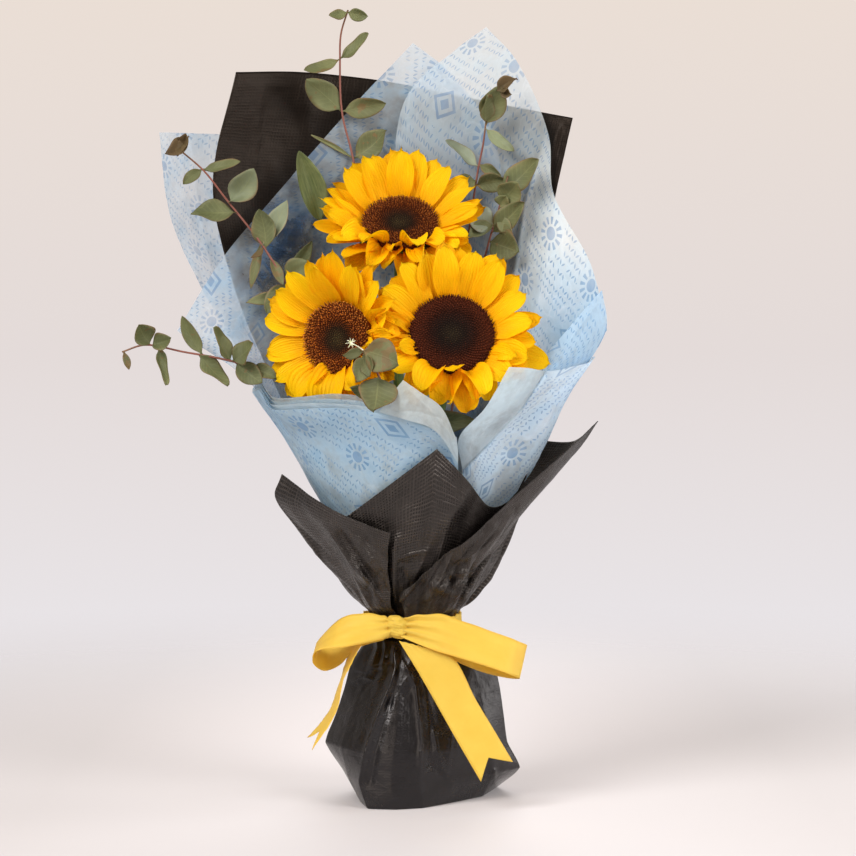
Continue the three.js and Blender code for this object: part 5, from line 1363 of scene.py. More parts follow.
    # a duplicate last column closes the seam in the UV map
    G2 = np.concatenate([G, G[:, :1]], 1)
    U2 = np.concatenate([uvw, uvw[:, :1] + np.array([per[-1] + np.linalg.norm(lv[3][0] - lv[3][-1]), 0])], 1)
    inner = G2 - np.concatenate([grid_normals(G, wrap=True), grid_normals(G, wrap=True)[:, :1]], 1) * out * 0.5
    inner[:16, :, 2] = 0.5
    b = Build()
    b.open_grid(G2, U2)
    m = G2.shape[0] * G2.shape[1]
    b._push(inner.reshape(-1, 3), grid_faces(G2.shape[0], G2.shape[1], flip=True), U2.reshape(-1, 2), {})
    nu2 = G2.shape[1]
    last = (G2.shape[0] - 1) * nu2
    for k in range(nu2 - 1):
        b.f.append((last + k, last + k + 1, m + last + k + 1, m + last + k))
        b.f.append((k + 1, k, m + k, m + k + 1))
    ob = b.make("wrap_foot")
    import bmesh
    bm = bmesh.new()
    bm.from_mesh(ob.data)
    bmesh.ops.remove_doubles(bm, verts=bm.verts, dist=1e-7)
    bmesh.ops.recalc_face_normals(bm, faces=bm.faces)
    bm.to_mesh(ob.data)
    bm.free()
    ob.data.polygons.foreach_set("use_smooth", [True] * len(ob.data.polygons))
    finish_piece(ob, M_WRAP_FOOT, "wrap", "wrap_foot")
    a = mesh_area(ob) / 2


make_foot()

# ------------------------------------------------------------------ sunflower heads
HEADS = [
    dict(name="top", at=P(400, 223, 20), tilt=47, turn=0, disc=27.5, reach=57),
    dict(name="left", at=P(338, 339, -40), tilt=2, turn=-25, disc=26.0, reach=55),
    dict(name="right", at=P(452, 334, -50), tilt=26, turn=4, disc=30.0, reach=58),
]
for h in HEADS:
    t, s = math.radians(h["tilt"]), math.radians(h["turn"])
    nn = np.array([math.sin(s) * math.cos(t), -math.cos(s) * math.cos(t), math.sin(t)])
    yy = np.array([0, 0, 1.0]) - nn * nn[2]
    yy /= np.linalg.norm(yy)
    h["M"] = np.stack([np.cross(yy, nn), yy, nn])


def put(h, V):
    return h["at"] + np.asarray(V) @ h["M"]


def petal(ang, length, width, e0, curl, r0, z0, cup=0.25, twist=0.0, ripple=0.5, seed=0, curve=1.6, lean=0.0, nu=11, nv=22):
    a = math.radians(ang)
    rho = np.array([math.cos(a), math.sin(a), 0])
    tau = np.array([-math.sin(a), math.cos(a), 0])
    ax = np.array([0, 0, 1.0])
    s = np.linspace(0, 1, nv)
    e = np.radians(e0 + curl * s**curve)
    ds = length / (nv - 1)
    r = r0 + np.concatenate([[0], np.cumsum(np.cos((e[1:] + e[:-1]) / 2) * ds)])
    z = z0 + np.concatenate([[0], np.cumsum(np.sin((e[1:] + e[:-1]) / 2) * ds)])
    sway = lean * length * s**2
    C0 = rho * r[:, None] + ax * z[:, None] + tau * sway[:, None]
    tang = rho * np.cos(e)[:, None] + ax * np.sin(e)[:, None]
    nrm = -rho * np.sin(e)[:, None] + ax * np.cos(e)[:, None]
    w = width / 2 * np.sin(np.pi * (0.13 + 0.87 * s) ** 1.32) ** 0.46
    w = np.maximum(w, 0.12)
    tw = np.radians(twist) * s
    side = tau * np.cos(tw)[:, None] + nrm * np.sin(tw)[:, None]
    up = np.cross(tang, side)
    up *= np.sign((up * nrm).sum(-1, keepdims=True))
    u = np.linspace(-1, 1, nu)
    U, S = np.meshgrid(u, s)
    rs = np.random.RandomState(seed)
    ph = rs.uniform(0, 6.28, 4)
    hgt = cup * w[:, None] * (U**2 - 0.3)
    hgt += 0.32 * np.cos(U * 3 * np.pi + 0.3 * np.sin(ph[0])) * np.sin(np.pi * np.clip(S, 0.02, 0.98)) ** 0.4
    hgt += ripple * np.abs(U) ** 1.6 * np.sin(S * (7 + 4 * np.sin(ph[1])) + ph[2] + np.sign(U) * ph[3])
    hgt += ripple * 0.8 * vnoise(n3(U * 1.3, S * 2.6, seed * 3.7), 3)
    # the tip is blunt, sometimes notched
    tipw = (0.032 * length * vnoise(n3(U * 1.5, seed * 1.9), 8)) * S**4 + 0.07 * length * (1 - np.abs(U)) ** 2 * S**6
    V = C0[:, None] + side[:, None] * (U * w[:, None])[..., None] + up[:, None] * hgt[..., None] + tang[:, None] * tipw[..., None]
    return V, np.stack([U, S], -1)


def ring_petals(h, rows_):
    b = Build()
    for i, (ang, ln, wd, e0, curl, *rest) in enumerate(rows_):
        kw = rest[0] if rest else {}
        seed = int(h["disc"] * 10) + i * 7
        layer = kw.pop("layer", 0)
        r0 = h["disc"] - 1.2 + layer * 1.2 + kw.pop("dr", 0)
        V, uv = petal(ang, ln, wd, e0, curl, r0, -2.2 - 2.0 * layer, seed=seed, **kw)
        rnd = np.random.RandomState(seed + 1).uniform()
        # the layer number also sets painted shade in the petal material
        b.open_grid(put(h, V), uv, rnd=rnd, layer=float(layer))
    return b


def petal_set(h, spec, seed):
    """spec(angle, layer) -> length, width, elevation, curl, kwargs; two layers, staggered."""
    rs = np.random.RandomState(seed)
    out = []
    for layer, n in ((0, 15), (1, 15), (2, 8)):
        for k in range(n):
            ang = (k + (0.5 if layer == 1 else 0.0)) * 360 / n + rs.uniform(-5, 5) + (11 if layer == 2 else 0)
            ln, wd, e0, curl, kw = spec(ang % 360, layer)
            kw = dict(kw)
            wild = kw.pop("wild", 0.0)
            kw.setdefault("twist", rs.uniform(-24, 24) * (1 + 1.4 * wild))
            kw.setdefault("ripple", rs.uniform(0.4, 1.0))
            kw.setdefault("cup", rs.uniform(0.1, 0.42) + 0.35 * wild)
            kw.setdefault("lean", rs.uniform(-0.09, 0.09) * (1 + 2.2 * wild))
            kw["layer"] = layer
            out.append((ang, ln * rs.uniform(0.92, 1.07), wd * rs.uniform(0.88, 1.1), e0 + rs.uniform(-5, 5), curl + rs.uniform(-8, 8), kw))
    return out


def near(d, c, w):
    return math.exp(-((((d - c + 540) % 360) - 180) / w) ** 2)


def spec_top(d, layer):
    up, dn, sd = near(d, 90, 62), near(d, 270, 48), near(d, 180, 35) + near(d, 0, 35)
    ln = 34.5 + 3.0 * up - 9 * dn + 0.6 * layer
    wd = 17.5 + 1.5 * up - 1.5 * dn
    e0 = 32 + 31 * up + 10 * dn * (1 if layer == 0 else -0.6) - 5 * layer
    curl = -8 - 10 * up - 62 * dn
    kw = {}
    if dn > 0.5:
        kw = dict(ripple=2.3, curve=1.0, wild=1.0)
    return ln, wd, e0, curl, kw


def spec_left(d, layer):
    up, rt, lf, dn = near(d, 90, 50), near(d, 355, 48), near(d, 180, 50), near(d, 262, 36)
    ln = 30.5 + 7 * up - 9 * rt + 0.5 * lf - 3.5 * dn + 0.8 * layer
    wd = 16 + 2.0 * up
    e0 = 24 + 24 * up + 34 * rt - 4 * lf + 6 * dn - 4 * layer
    curl = -16 - 4 * up - 55 * rt - 26 * dn
    kw = dict(ripple=2.0, curve=1.0, wild=0.8) if rt > 0.5 else (dict(ripple=2.0, wild=0.5) if dn > 0.5 else {})
    return ln, wd, e0, curl, kw


def spec_right(d, layer):
    up, dn, lf, rt = near(d, 88, 55), near(d, 270, 52), near(d, 180, 36), near(d, 0, 30)
    ln = 31 + 6 * up - 4 * dn - 5 * lf - 1.0 * rt + 0.8 * layer
    wd = 18.5 + 2.0 * up + 1.0 * dn
    e0 = 32 + 22 * up + 22 * dn + 14 * lf - 5 * layer
    curl = -20 - 8 * up - 84 * dn - 34 * lf
    kw = dict(ripple=2.2, curve=1.0, wild=0.9) if (dn > 0.5 or lf > 0.6) else {}
    return ln, wd, e0, curl, kw


SPECS = [spec_top, spec_left, spec_right]
EXTRA = [
    [(236, 30, 19, 74, -94, dict(layer=0, ripple=1.8, twist=30, cup=0.5, dr=-1.5)), (288, 30, 19, 76, -88, dict(layer=0, ripple=1.8, twist=-26, cup=0.5, dr=-1.5)), (310, 28, 17, 62, -82, dict(layer=0, ripple=1.8, twist=22, cup=0.4, dr=-1)),
     (262, 21, 12, 70, -95, dict(layer=0, ripple=2.0, twist=50, dr=-1)), (214, 29, 18, 58, -88, dict(layer=0, ripple=2.0, twist=-30, cup=0.4, dr=-1))],
    [(318, 26, 13, 75, -80, dict(layer=0, ripple=1.5, twist=20, dr=-1)), (352, 24, 11, 80, -50, dict(layer=0, ripple=1.5, twist=-40, dr=-1)),
     (236, 36, 24, 58, -92, dict(layer=0, ripple=1.8, twist=30, cup=0.55, dr=-2.5)), (268, 38, 26, 72, -128, dict(layer=0, ripple=2.0, twist=-24, cup=0.6, dr=-4)),
     (300, 32, 20, 84, -122, dict(layer=0, ripple=1.8, twist=30, cup=0.5, dr=-4))],
    [(343, 41, 20, 4, -18, dict(layer=1, ripple=0.5, twist=4, cup=0.25, lean=0.02)), (268, 24, 16, 92, -70, dict(layer=0, ripple=1.6, twist=14, dr=-1.5)),
     (292, 33, 21, 58, -92, dict(layer=0, ripple=1.6, twist=-24, cup=0.6, dr=-1)), (243, 31, 20, 60, -96, dict(layer=0, ripple=2.0, twist=34, cup=0.6, dr=-1)), (205, 24, 12, 75, -60, dict(layer=0, ripple=1.5, twist=-35, dr=-1)),
     (332, 26, 13, 55, -60, dict(layer=0, ripple=1.7, twist=30, dr=-1))],
]
for h, spec, extra, seed in zip(HEADS, SPECS, EXTRA, (5, 17, 29)):
    b = ring_petals(h, petal_set(h, spec, seed) + extra)
    finish_piece(b.make(f"sunflower_{h['name']}_petals"), M_PETAL, "petal", f"sunflower_{h['name']}_petals")


RUST = {"top": 0.42, "left": 1.0, "right": 0.05}


def make_disc(h, seed):
    R = h["disc"]
    rs = np.random.RandomState(seed)
    b = Build()
    n, sides = 900, 5
    # the cushion under the florets
    prof = np.array([[0.01, -6.0], [R - 5, -6.0], [R - 0.6, -4.4], [R - 0.2, -0.8], [R - 2.5, 1.6], [R * 0.8, 2.5], [R * 0.55, 2.2], [R * 0.3, 1.2], [0.01, 0.7]])
    pf = spl(np.concatenate([prof, np.zeros((len(prof), 1))], 1), np.linspace(0, 1, 40))[:, :2]
    an = np.linspace(0, 2 * math.pi, 64, endpoint=False)
    V = np.stack([pf[:, :1] * np.cos(an), pf[:, :1] * np.sin(an), np.repeat(pf[:, 1:2], 64, 1)], -1)
    b.solid(put(h, V.reshape(-1, 3)), grid_faces(40, 64, wrap=True).tolist(), None, rad=np.repeat(np.clip(pf[:, 0] / R, 0, 1), 64), tip=0.0, rnd=0.3, rust=RUST[h["name"]])
    ang = np.linspace(0, 2 * math.pi, sides, endpoint=False)
    for i in range(n):
        f = math.sqrt((i + 0.5) / n)
        a = i * 2.399963
        r = R * 0.985 * f
        base = np.array([r * math.cos(a), r * math.sin(a), float(np.interp(r, [0, R * 0.3, R * 0.55, R * 0.8, R * 0.93, R], [0.5, 1.0, 2.0, 2.3, 1.3, -0.6]))])
        open_ = smooth(f, 0.46, 0.62) * (0.45 + 0.55 * min(1, RUST[h["name"]] * 2))
        hgt = (1.0 + 0.5 * f) * (1 - open_) + (2.2 + 1.4 * rs.uniform()) * open_ * (1 - 0.25 * smooth(f, 0.9, 1.0))
        wid = 0.52 + 0.1 * f - 0.1 * open_
        lean = (0.1 + 0.5 * smooth(f, 0.6, 1.0)) * hgt
        jx, jy = rs.uniform(-0.5, 0.5, 2) * (0.25 + open_)
        a += rs.uniform(-0.03, 0.03)
        d = np.array([math.cos(a) * lean + jx, math.sin(a) * lean + jy, hgt])
        rings = [(0.0, 1.0), (0.45, 1.12 - 0.3 * open_), (0.8, 0.7 - 0.2 * open_), (0.97, 0.45 + 0.75 * open_ * rs.uniform(0.5, 1.0))]
        verts = []
        for t, k in rings:
            c = base + d * t
            verts.append(np.stack([c[0] + wid * k * np.cos(ang + i), c[1] + wid * k * np.sin(ang + i), np.full(sides, c[2])], -1))
        verts = np.concatenate(verts + [(base + d * (1.0 - 0.18 * open_))[None]])
        faces = grid_faces(4, sides, wrap=True).tolist()
        top = 3 * sides
        faces += [[top + k, top + (k + 1) % sides, 4 * sides] for k in range(sides)]
        tipv = np.concatenate([np.repeat([0.0, 0.3, 0.8, 1.0], sides), [0.55]])
        b.solid(put(h, verts), faces, None, rad=f, tip=tipv, rnd=rs.uniform(), rust=RUST[h["name"]] * (0.75 + 0.5 * rs.uniform()))
    finish_piece(b.make(f"sunflower_{h['name']}_disc"), M_DISC, "disc", f"sunflower_{h['name']}_disc")


for h, s in zip(HEADS, (3, 4, 5)):
    make_disc(h, s)


def make_calyx(h, seed):
    rs = np.random.RandomState(seed)
    b = Build()
    R = h["disc"]
    prof = np.array([[0.01, -17.4], [5.5, -17.0], [10, -16.4], [16, -14.6], [R - 5, -11.4], [R - 1, -8.6], [R - 2, -7.0], [0.01, -7.0]])
    pf = spl(np.concatenate([prof, np.zeros((len(prof), 1))], 1), np.linspace(0, 1, 36))[:, :2]
    an = np.linspace(0, 2 * math.pi, 72, endpoint=False)
    rr = 1 + 0.03 * np.cos(an * 12)[None, :]
    V = np.stack([pf[:, :1] * np.cos(an) * rr, pf[:, :1] * np.sin(an) * rr, np.repeat(pf[:, 1:2], 72, 1)], -1)
    uv = np.stack([np.repeat((an * R)[None], 36, 0), np.repeat(np.arange(36)[:, None] * 1.2, 72, 1)], -1)
    b.solid(put(h, V.reshape(-1, 3)), grid_faces(36, 72, wrap=True).tolist(), uv.reshape(-1, 2))
    for layer, n in ((0, 16), (1, 15)):
        for k in range(n):
            ang = (k + 0.5 * layer) * 360 / n + rs.uniform(-5, 5)
            Vp, uvp = petal(ang, 15 + rs.uniform(-2, 3), 8.6, 14 - 14 * layer + rs.uniform(-8, 6), -22 + rs.uniform(-14, 14), R - 8 - 2 * layer, -8.4 - 2.4 * layer,
                            cup=0.45, twist=rs.uniform(-20, 20), ripple=0.3, seed=seed + k + 40 * layer, nu=7, nv=14)
            w = np.clip(1 - uvp[..., 1], 0, 1)[..., None]
            b.thick_grid(put(h, Vp), 0.5, uvp * np.array([8, 15]))
    finish_piece(b.make(f"sunflower_{h['name']}_calyx"), M_GREEN, "green", f"sunflower_{h['name']}_calyx")


for h, s in zip(HEADS, (13, 14, 15)):
    make_calyx(h, s)


def tie_pt(a, r):
    return r * math.cos(math.radians(a)), r * SQUASH * math.sin(math.radians(a))


def below(a, r, z):
    x, y = tie_pt(a, r)
    t = (WAIST_Z - z) / WAIST_Z
    c, q = math.cos(math.radians(50)), math.sin(math.radians(50))
    fx, fy = 1.6 * (c * x - q * y), 1.6 * (q * x + c * y)
    return np.array([WAIST_X + x + (fx - x) * t + 13 * t, y + (fy - y) * t, z])


def through(a, r, end):
    return [below(a, r, WAIST_Z), below(a, r, 90), below(a, r, 45), below(a, r, end)]


def hp(i, z, o=(0, 0, 0)):
    return put(HEADS[i], np.array([o[0], o[1], z]))


STEMS = [
    [hp(0, -17.2), hp(0, -30, [0, -3, 0]), P(398, 330, 26), P(402, 470, 12), *through(80, 7, 2.2)],
    [hp(1, -17.2), hp(1, -32, [2, -6, 0]), P(372, 420, -14), P(394, 520, -9), *through(200, 7, 2.2)],
    [hp(2, -17.2), hp(2, -30, [0, -2, 0]), P(438, 420, -16), P(420, 520, -10), *through(320, 7, 2.2)],
]
for h, pts in zip(HEADS, STEMS):
    b = Build()
    b.tube(pts, [4.2, 3.9, 4.0, 4.4], 20, 90)
    finish_piece(b.make(f"sunflower_{h['name']}_stem"), M_GREEN, "green", f"sunflower_{h['name']}_stem")

# ------------------------------------------------------------------ greenery
def on_path(path, p):
    d = np.linalg.norm(path - p, axis=1)
    return path[int(np.argmin(d))]


def leaf_grid(base, tip, w, seed, roll=None, sag=0.1, fold=0.45, turn=None, blunt=0.35, nu=9, nv=16, curl=0.0, face=(0, -1, 0.15)):
    rs = np.random.RandomState(seed)
    base, tip = np.asarray(base, float), np.asarray(tip, float)
    axis = tip - base
    ln = np.linalg.norm(axis)
    ax = axis / ln
    f = np.asarray(face, float)
    side = np.cross(ax, f)
    side /= np.linalg.norm(side)
    fc = np.cross(side, ax)
    roll = math.radians(rs.uniform(-26, 26) if roll is None else roll)
    w = w / max(math.cos(roll), 0.5)
    side, fc = side * math.cos(roll) + fc * math.sin(roll), fc * math.cos(roll) - side * math.sin(roll)
    s = np.linspace(0, 1, nv)
    body = np.clip((s - 0.1) / 0.9, 0, 1)
    prof = np.sin(np.pi * np.clip(body, 0.0, 1) ** (1 - blunt * 0.6)) ** 0.68
    half = np.maximum(w / 2 * prof, np.where(s < 0.12, 0.55, 0.05))
    cen = base + axis * s[:, None] - fc * (sag * ln * np.sin(np.pi * s))[:, None] + side * (0.05 * ln * rs.uniform(-1, 1) * np.sin(np.pi * s))[:, None]
    cen = cen + fc * (curl * ln * s**2.2)[:, None]
    u = np.linspace(-1, 1, nu)
    U, S = np.meshgrid(u, s)
    hgt = fold * np.abs(U) ** 1.3 * half[:, None]
    hgt += 0.10 * w * vnoise(n3(U * 1.1, S * 1.8, seed * 2.3), 4) * np.abs(U)
    hgt += 0.07 * w * np.abs(U) ** 2 * np.sin(S * 9 + seed + 1.4 * U)
    # the blade turns about its own line towards the tip, and its margin waves
    tw = np.radians((rs.uniform(-42, 42) if turn is None else turn) * s**1.3)[:, None, None]
    across = U * half[:, None]
    V = cen[:, None] + (side * np.cos(tw) + fc * np.sin(tw)) * across[..., None] + (fc * np.cos(tw) - side * np.sin(tw)) * hgt[..., None]
    return V, np.stack([U, S], -1)


SPRIGS = {
    "eucalyptus_top": dict(
        pts=[P(348, 10, 40), P(341, 34, 46), P(340, 60, 50), P(342, 112, 53), P(353, 158, 55), P(362, 215, 56), P(380, 330, 44), P(398, 470, 27), *through(122, 13.4, 2.6)],
        leaves=[
            ((347, 13, 40), (329, 15, 34), 11, 0.3, 0.1, {}), ((347, 13, 40), (368, 16, 38), 13, 0.35, 0.1, {}),
            ((340, 60, 50), (368, 33, 42), 17, 0.35, 0.05, dict(blunt=0.2)), ((340, 60, 50), (304, 70, 42), 14, 0.4, 0.25, dict(blunt=0.2)),
            ((342, 111, 53), (306, 80, 42), 29, 0.52, 0.2, dict(fold=0.2)), ((342, 112, 53), (386, 103, 45), 21, 0.4, 0.3, {}),
            ((353, 158, 55), (311, 135, 46), 5, 0.5, 0.1, {}), ((353, 158, 55), (386, 130, 46), 28, 0.25, 0.2, {}),
        ]),
    "eucalyptus_right": dict(
        pts=[P(486, 122, 44), P(483, 145, 47), P(478, 170, 50), P(466, 250, 48), P(448, 350, 36), P(430, 470, 22), *through(38, 13.4, 2.6)],
        leaves=[
            ((485, 125, 44), (500, 86, 38), 27, 0.25, 0.3, dict(fold=0.35, roll=12, turn=-30)), ((484, 128, 44), (514, 151, 40), 13, 0.75, 0.0, {}), ((479, 167, 50), (446, 140, 40), 16, 1.0, 0.0, {}),
            ((486, 182, 50), (453, 184, 40), 19, 0.1, 0.1, {}), ((478, 165, 50), (501, 176, 40), 12, 0.0, 0.1, {}), ((476, 186, 50), (508, 181, 40), 20, 0.2, 0.1, {}),
            ((497, 91, 38), (517, 79, 37), 14, 0.1, 1.0, dict(curl=0.3, fold=1.1, blunt=0.8, free=True, turn=60)), ((500, 90, 38), (512, 96, 35), 11, 0.1, 1.0, dict(curl=0.3, fold=0.9, free=True, turn=-50)),
            ((486, 124, 44), (489, 94, 37), 16, 0.3, 0.3, dict(roll=-30, fold=0.6)),
        ]),
    "eucalyptus_right_low": dict(
        pts=[P(508, 176, 34), P(500, 205, 36), P(488, 245, 36), P(468, 330, 28), P(442, 470, 12), *through(2, 13.4, 2.6)],
        leaves=[
            ((502, 193, 34), (538, 159, 26), 27, 0.2, 0.1, dict(roll=12)), ((478, 197, 35), (518, 183, 24), 27, 0.4, 0.0, dict(roll=-10)), ((495, 233, 35), (524, 202, 26), 24, 0.3, 0.05, {}),
            ((481, 240, 36), (518, 252, 27), 33, 0.1, 0.1, dict(roll=5)), ((497, 230, 36), (468, 210, 28), 28, 0.98, 0.0, dict(roll=-5)), ((490, 222, 36), (468, 236, 26), 15, 0.55, 0.1, {}),
            ((492, 205, 36), (506, 196, 30), 16, 0.4, 0.1, {}), ((500, 218, 35), (512, 236, 29), 14, 0.7, 0.0, {}),
        ]),
    "eucalyptus_left": dict(
        pts=[P(180, 150, 10), P(204, 171, 12), P(226, 199, 13), P(260, 242, 14), P(290, 290, 14), P(336, 380, 14), P(378, 490, 8), *through(158, 13.4, 2.6)],
        leaves=[
            ((189, 136, 10), (169, 160, 5), 15, 0.1, 1.0, dict(fold=1.0, curl=0.4, free=True, turn=55)), ((186, 137, 10), (178, 158, 5), 12, 0.1, 0.9, dict(fold=1.0, curl=0.2, free=True, turn=-50)),
            ((180, 150, 10), (189, 134, 6), 10, 0.1, 1.0, dict(fold=0.8, curl=0.3)),
            ((203, 170, 12), (183, 184, 6), 12, 0.3, 0.2, {}), ((203, 170, 12), (240, 161, 6), 13, 0.3, 0.15, {}),
            ((227, 202, 13), (254, 169, 7), 27, 0.8, 0.0, dict(roll=10)), ((240, 208, 13), (191, 213, 7), 24, 0.15, 0.1, dict(roll=-8)), ((279, 240, 14), (259, 209, 8), 24, 0.2, 0.15, dict(roll=15)),
            ((257, 246, 14), (251, 290, 8), 10, 0.25, 0.3, dict(curl=0.1)), ((281, 281, 14), (309, 262, 8), 25, 0.6, 0.2, dict(roll=-20)), ((278, 304, 14), (246, 303, 8), 13, 0.7, 0.1, {}),
            ((300, 278, 14), (267, 314, 2), 18, 0.1, 0.1, dict(fold=0.5)), ((262, 246, 14), (252, 262, 6), 7, 0.1, 0.9, dict(curl=0.3)), ((318, 212, 24), (287, 200, 18), 20, 0.85, 0.0, {}),
            ((345, 256, 16), (312, 241, 10), 16, 0.05, 0.0, {}), ((265, 262, 12), (283, 285, 6), 10, 0.5, 0.4, {}),
        ]),
    "eucalyptus_left_low": dict(
        pts=[P(122, 352, -26), P(145, 345, -25), P(184, 352, -24), P(222, 359, -22), P(262, 371, -18), P(318, 410, -12), P(372, 510, -10), *through(238, 13.4, 2.6)],
        leaves=[
            ((123, 352, -26), (131, 371, -30), 7, 0.2, 0.6, dict(curl=0.3)), ((150, 346, -25), (136, 325, -32), 20, 0.35, 0.15, dict(fold=0.6, roll=-30, curl=0.2, turn=40)), ((150, 346, -25), (171, 338, -30), 17, 0.3, 0.1, dict(fold=0.7, roll=25, turn=-40)),
            ((158, 348, -24), (167, 385, -30), 12, 0.3, 0.15, dict(fold=0.5, roll=30)), ((203, 355, -23), (182, 316, -29), 14, 0.35, 0.1, dict(fold=0.4, roll=-22)), ((198, 355, -23), (229, 385, -29), 21, 0.3, 0.1, dict(fold=0.3, roll=18, turn=45)),
            ((232, 361, -21), (211, 328, -27), 17, 0.45, 0.1, dict(fold=0.5, roll=-28, curl=0.15)), ((232, 361, -21), (253, 343, -30), 25, 0.3, 0.1, dict(fold=0.2, roll=10)), ((234, 362, -21), (262, 383, -27), 22, 0.15, 0.1, dict(fold=0.3)),
            ((252, 367, -19), (276, 378, -26), 16, 0.05, 0.05, dict(fold=0.4)),
        ]),
    "eucalyptus_front": dict(
        pts=[P(362, 350, -88), P(371, 361, -86), P(380, 379, -82), P(389, 412, -72), P(400, 500, -36), *through(280, 13.4, 2.6)],
        leaves=[
            ((363, 349, -88), (398, 364, -97), 33, 0.42, 0.5, dict(roll=-14, fold=0.25, turn=14)), ((364, 351, -88), (343, 355, -95), 11, 0.5, 0.35, {}), ((380, 376, -85), (374, 411, -99), 37, 0.1, 0.22, dict(roll=12, fold=0.25, turn=-10)),
            ((368, 355, -86), (356, 382, -94), 19, 0.3, 0.3, dict(turn=20)), ((364, 352, -86), (370, 377, -92), 14, 0.2, 0.2, dict(turn=-20)), ((396, 440, -60), (476, 420, -58), 25, 0.0, 0.05, dict(roll=-14)), ((386, 398, -78), (350, 388, -84), 15, 0.0, 0.05, dict(roll=10)),
        ]),
}
for k_, (name, s) in enumerate(SPRIGS.items()):
    b = Build()
    path = b.tube(s["pts"], [0.62, 0.75, 1.0, 1.5, 1.8], 9, 130, along=np.linspace(0, 1, 130))
    ob = b.make(name + "_twig")
    finish_piece(ob, M_TWIG, "eucalyptus", name)
    b = Build()
    for i, (bp, tp, w, tone, dry, kw) in enumerate(s["leaves"]):
        kw = dict(kw)
        start = P(*bp) if kw.pop("free", False) else on_path(path, P(*bp))
        V, uv = leaf_grid(start, P(*tp), w * SCALE, seed=k_ * 40 + i * 3 + 2, **kw)
        b.thick_grid(V, 0.36, uv, tone=tone, dry=dry, rnd=(i * 0.37) % 1)
    ob = b.make(name + "_leaves")
    finish_piece(ob, M_LEAF, "eucalyptus", name)

# a small pale floret at the tip of the front sprig
b = Build()
fl = P(351, 343, -93)
rs = np.random.RandomState(8)
b.tube([P(363, 350, -88.2), P(357, 346, -91), fl], [0.45, 0.4, 0.5], 6, 12)
for k in range(11):
    a_, e_ = k * 2.4, rs.uniform(-0.3, 0.9)
    d_ = np.array([math.cos(a_) * math.cos(e_), -0.35, math.sin(a_) * math.cos(e_) + 0.25])
    ln_ = rs.uniform(2.3, 3.9)
    mid_ = fl + d_ * ln_ * 0.55 + np.array([0, 0, rs.uniform(-0.5, 0.5)])
    b.tube([fl, mid_, fl + d_ * ln_ + np.array([0, -0.6, rs.uniform(-1, 0.6)])], [0.34, 0.24, 0.3 if k % 2 else 0.16], 6, 8)
finish_piece(b.make("eucalyptus_front_floret"), M_FLORET, "eucalyptus", "eucalyptus_front")

b = Build()
V, uv = leaf_grid(P(322, 228, 40), P(299, 151, 30), 19, 77, roll=8, sag=0.06, fold=0.5, blunt=0.3, nu=11, nv=30, face=(0.3, -1, 0.1))
b.thick_grid(V, 0.5, uv * np.array([9, 55]))
finish_piece(b.make("sunflower_leaf"), M_BLADE, "green", "sunflower_leaf")

# ------------------------------------------------------------------ tie and bow
def ring_band(name, rx, ry, z0, z1, wall, mat, slot, wob=0.0, n=160, nz=17):
    an = np.linspace(0, 2 * math.pi, n + 1)
    zz = np.linspace(z1, z0, nz)
    A, Z = np.meshgrid(an, zz)
    k = 1 + wob * 0.02 * vnoise(n3(np.cos(A) * 5, np.sin(A) * 5, Z * 0.25), 3)
    crimp = wob * 0.55 * np.sin(A * 31 + 2 * vnoise(n3(np.cos(A) * 3, np.sin(A) * 3, Z * 0.05), 6)) * (0.5 + 0.5 * vnoise(n3(np.cos(A) * 2, np.sin(A) * 2, Z * 0.1), 2))
    pinch = wob * np.exp(-((np.degrees(A) - 264) / 38) ** 2)  # drawn together where the knot sits
    Z = Z + pinch * (6.5 * (z1 - Z) / (z1 - z0) - 1.5 * (Z - z0) / (z1 - z0))
    zt = Z + wob * (0.9 * vnoise(n3(np.cos(A) * 4, np.sin(A) * 4, 0), 14) + 1.5 * vnoise(n3(np.cos(A) * 11, np.sin(A) * 11, 0), 15) * smooth(Z, z0 + 6, z1))
    V = np.stack([WAIST_X + (rx * k + crimp) * np.cos(A), (ry * k + crimp) * np.sin(A), zt], -1)
    b = Build()
    uv = np.stack([A * rx, Z], -1)[..., ::-1]
    b.thick_grid(V, wall, uv, edge=smooth(np.abs(np.linspace(-1, 1, nz)), 0.86, 1.0)[:, None] * np.ones((1, n + 1)))
    ob = b.make(name)
    finish_piece(ob, mat, slot, name)
    return ob, V


ring_band("stem_band", 16.1, 14.6, 124, 128, 1.0, M_RUBBER, "rubber")
ob, V = ring_band("ribbon_band", 34.8, 31.6, 114.5, 134.5, 0.5, M_RIBBON, "ribbon", 1.0)


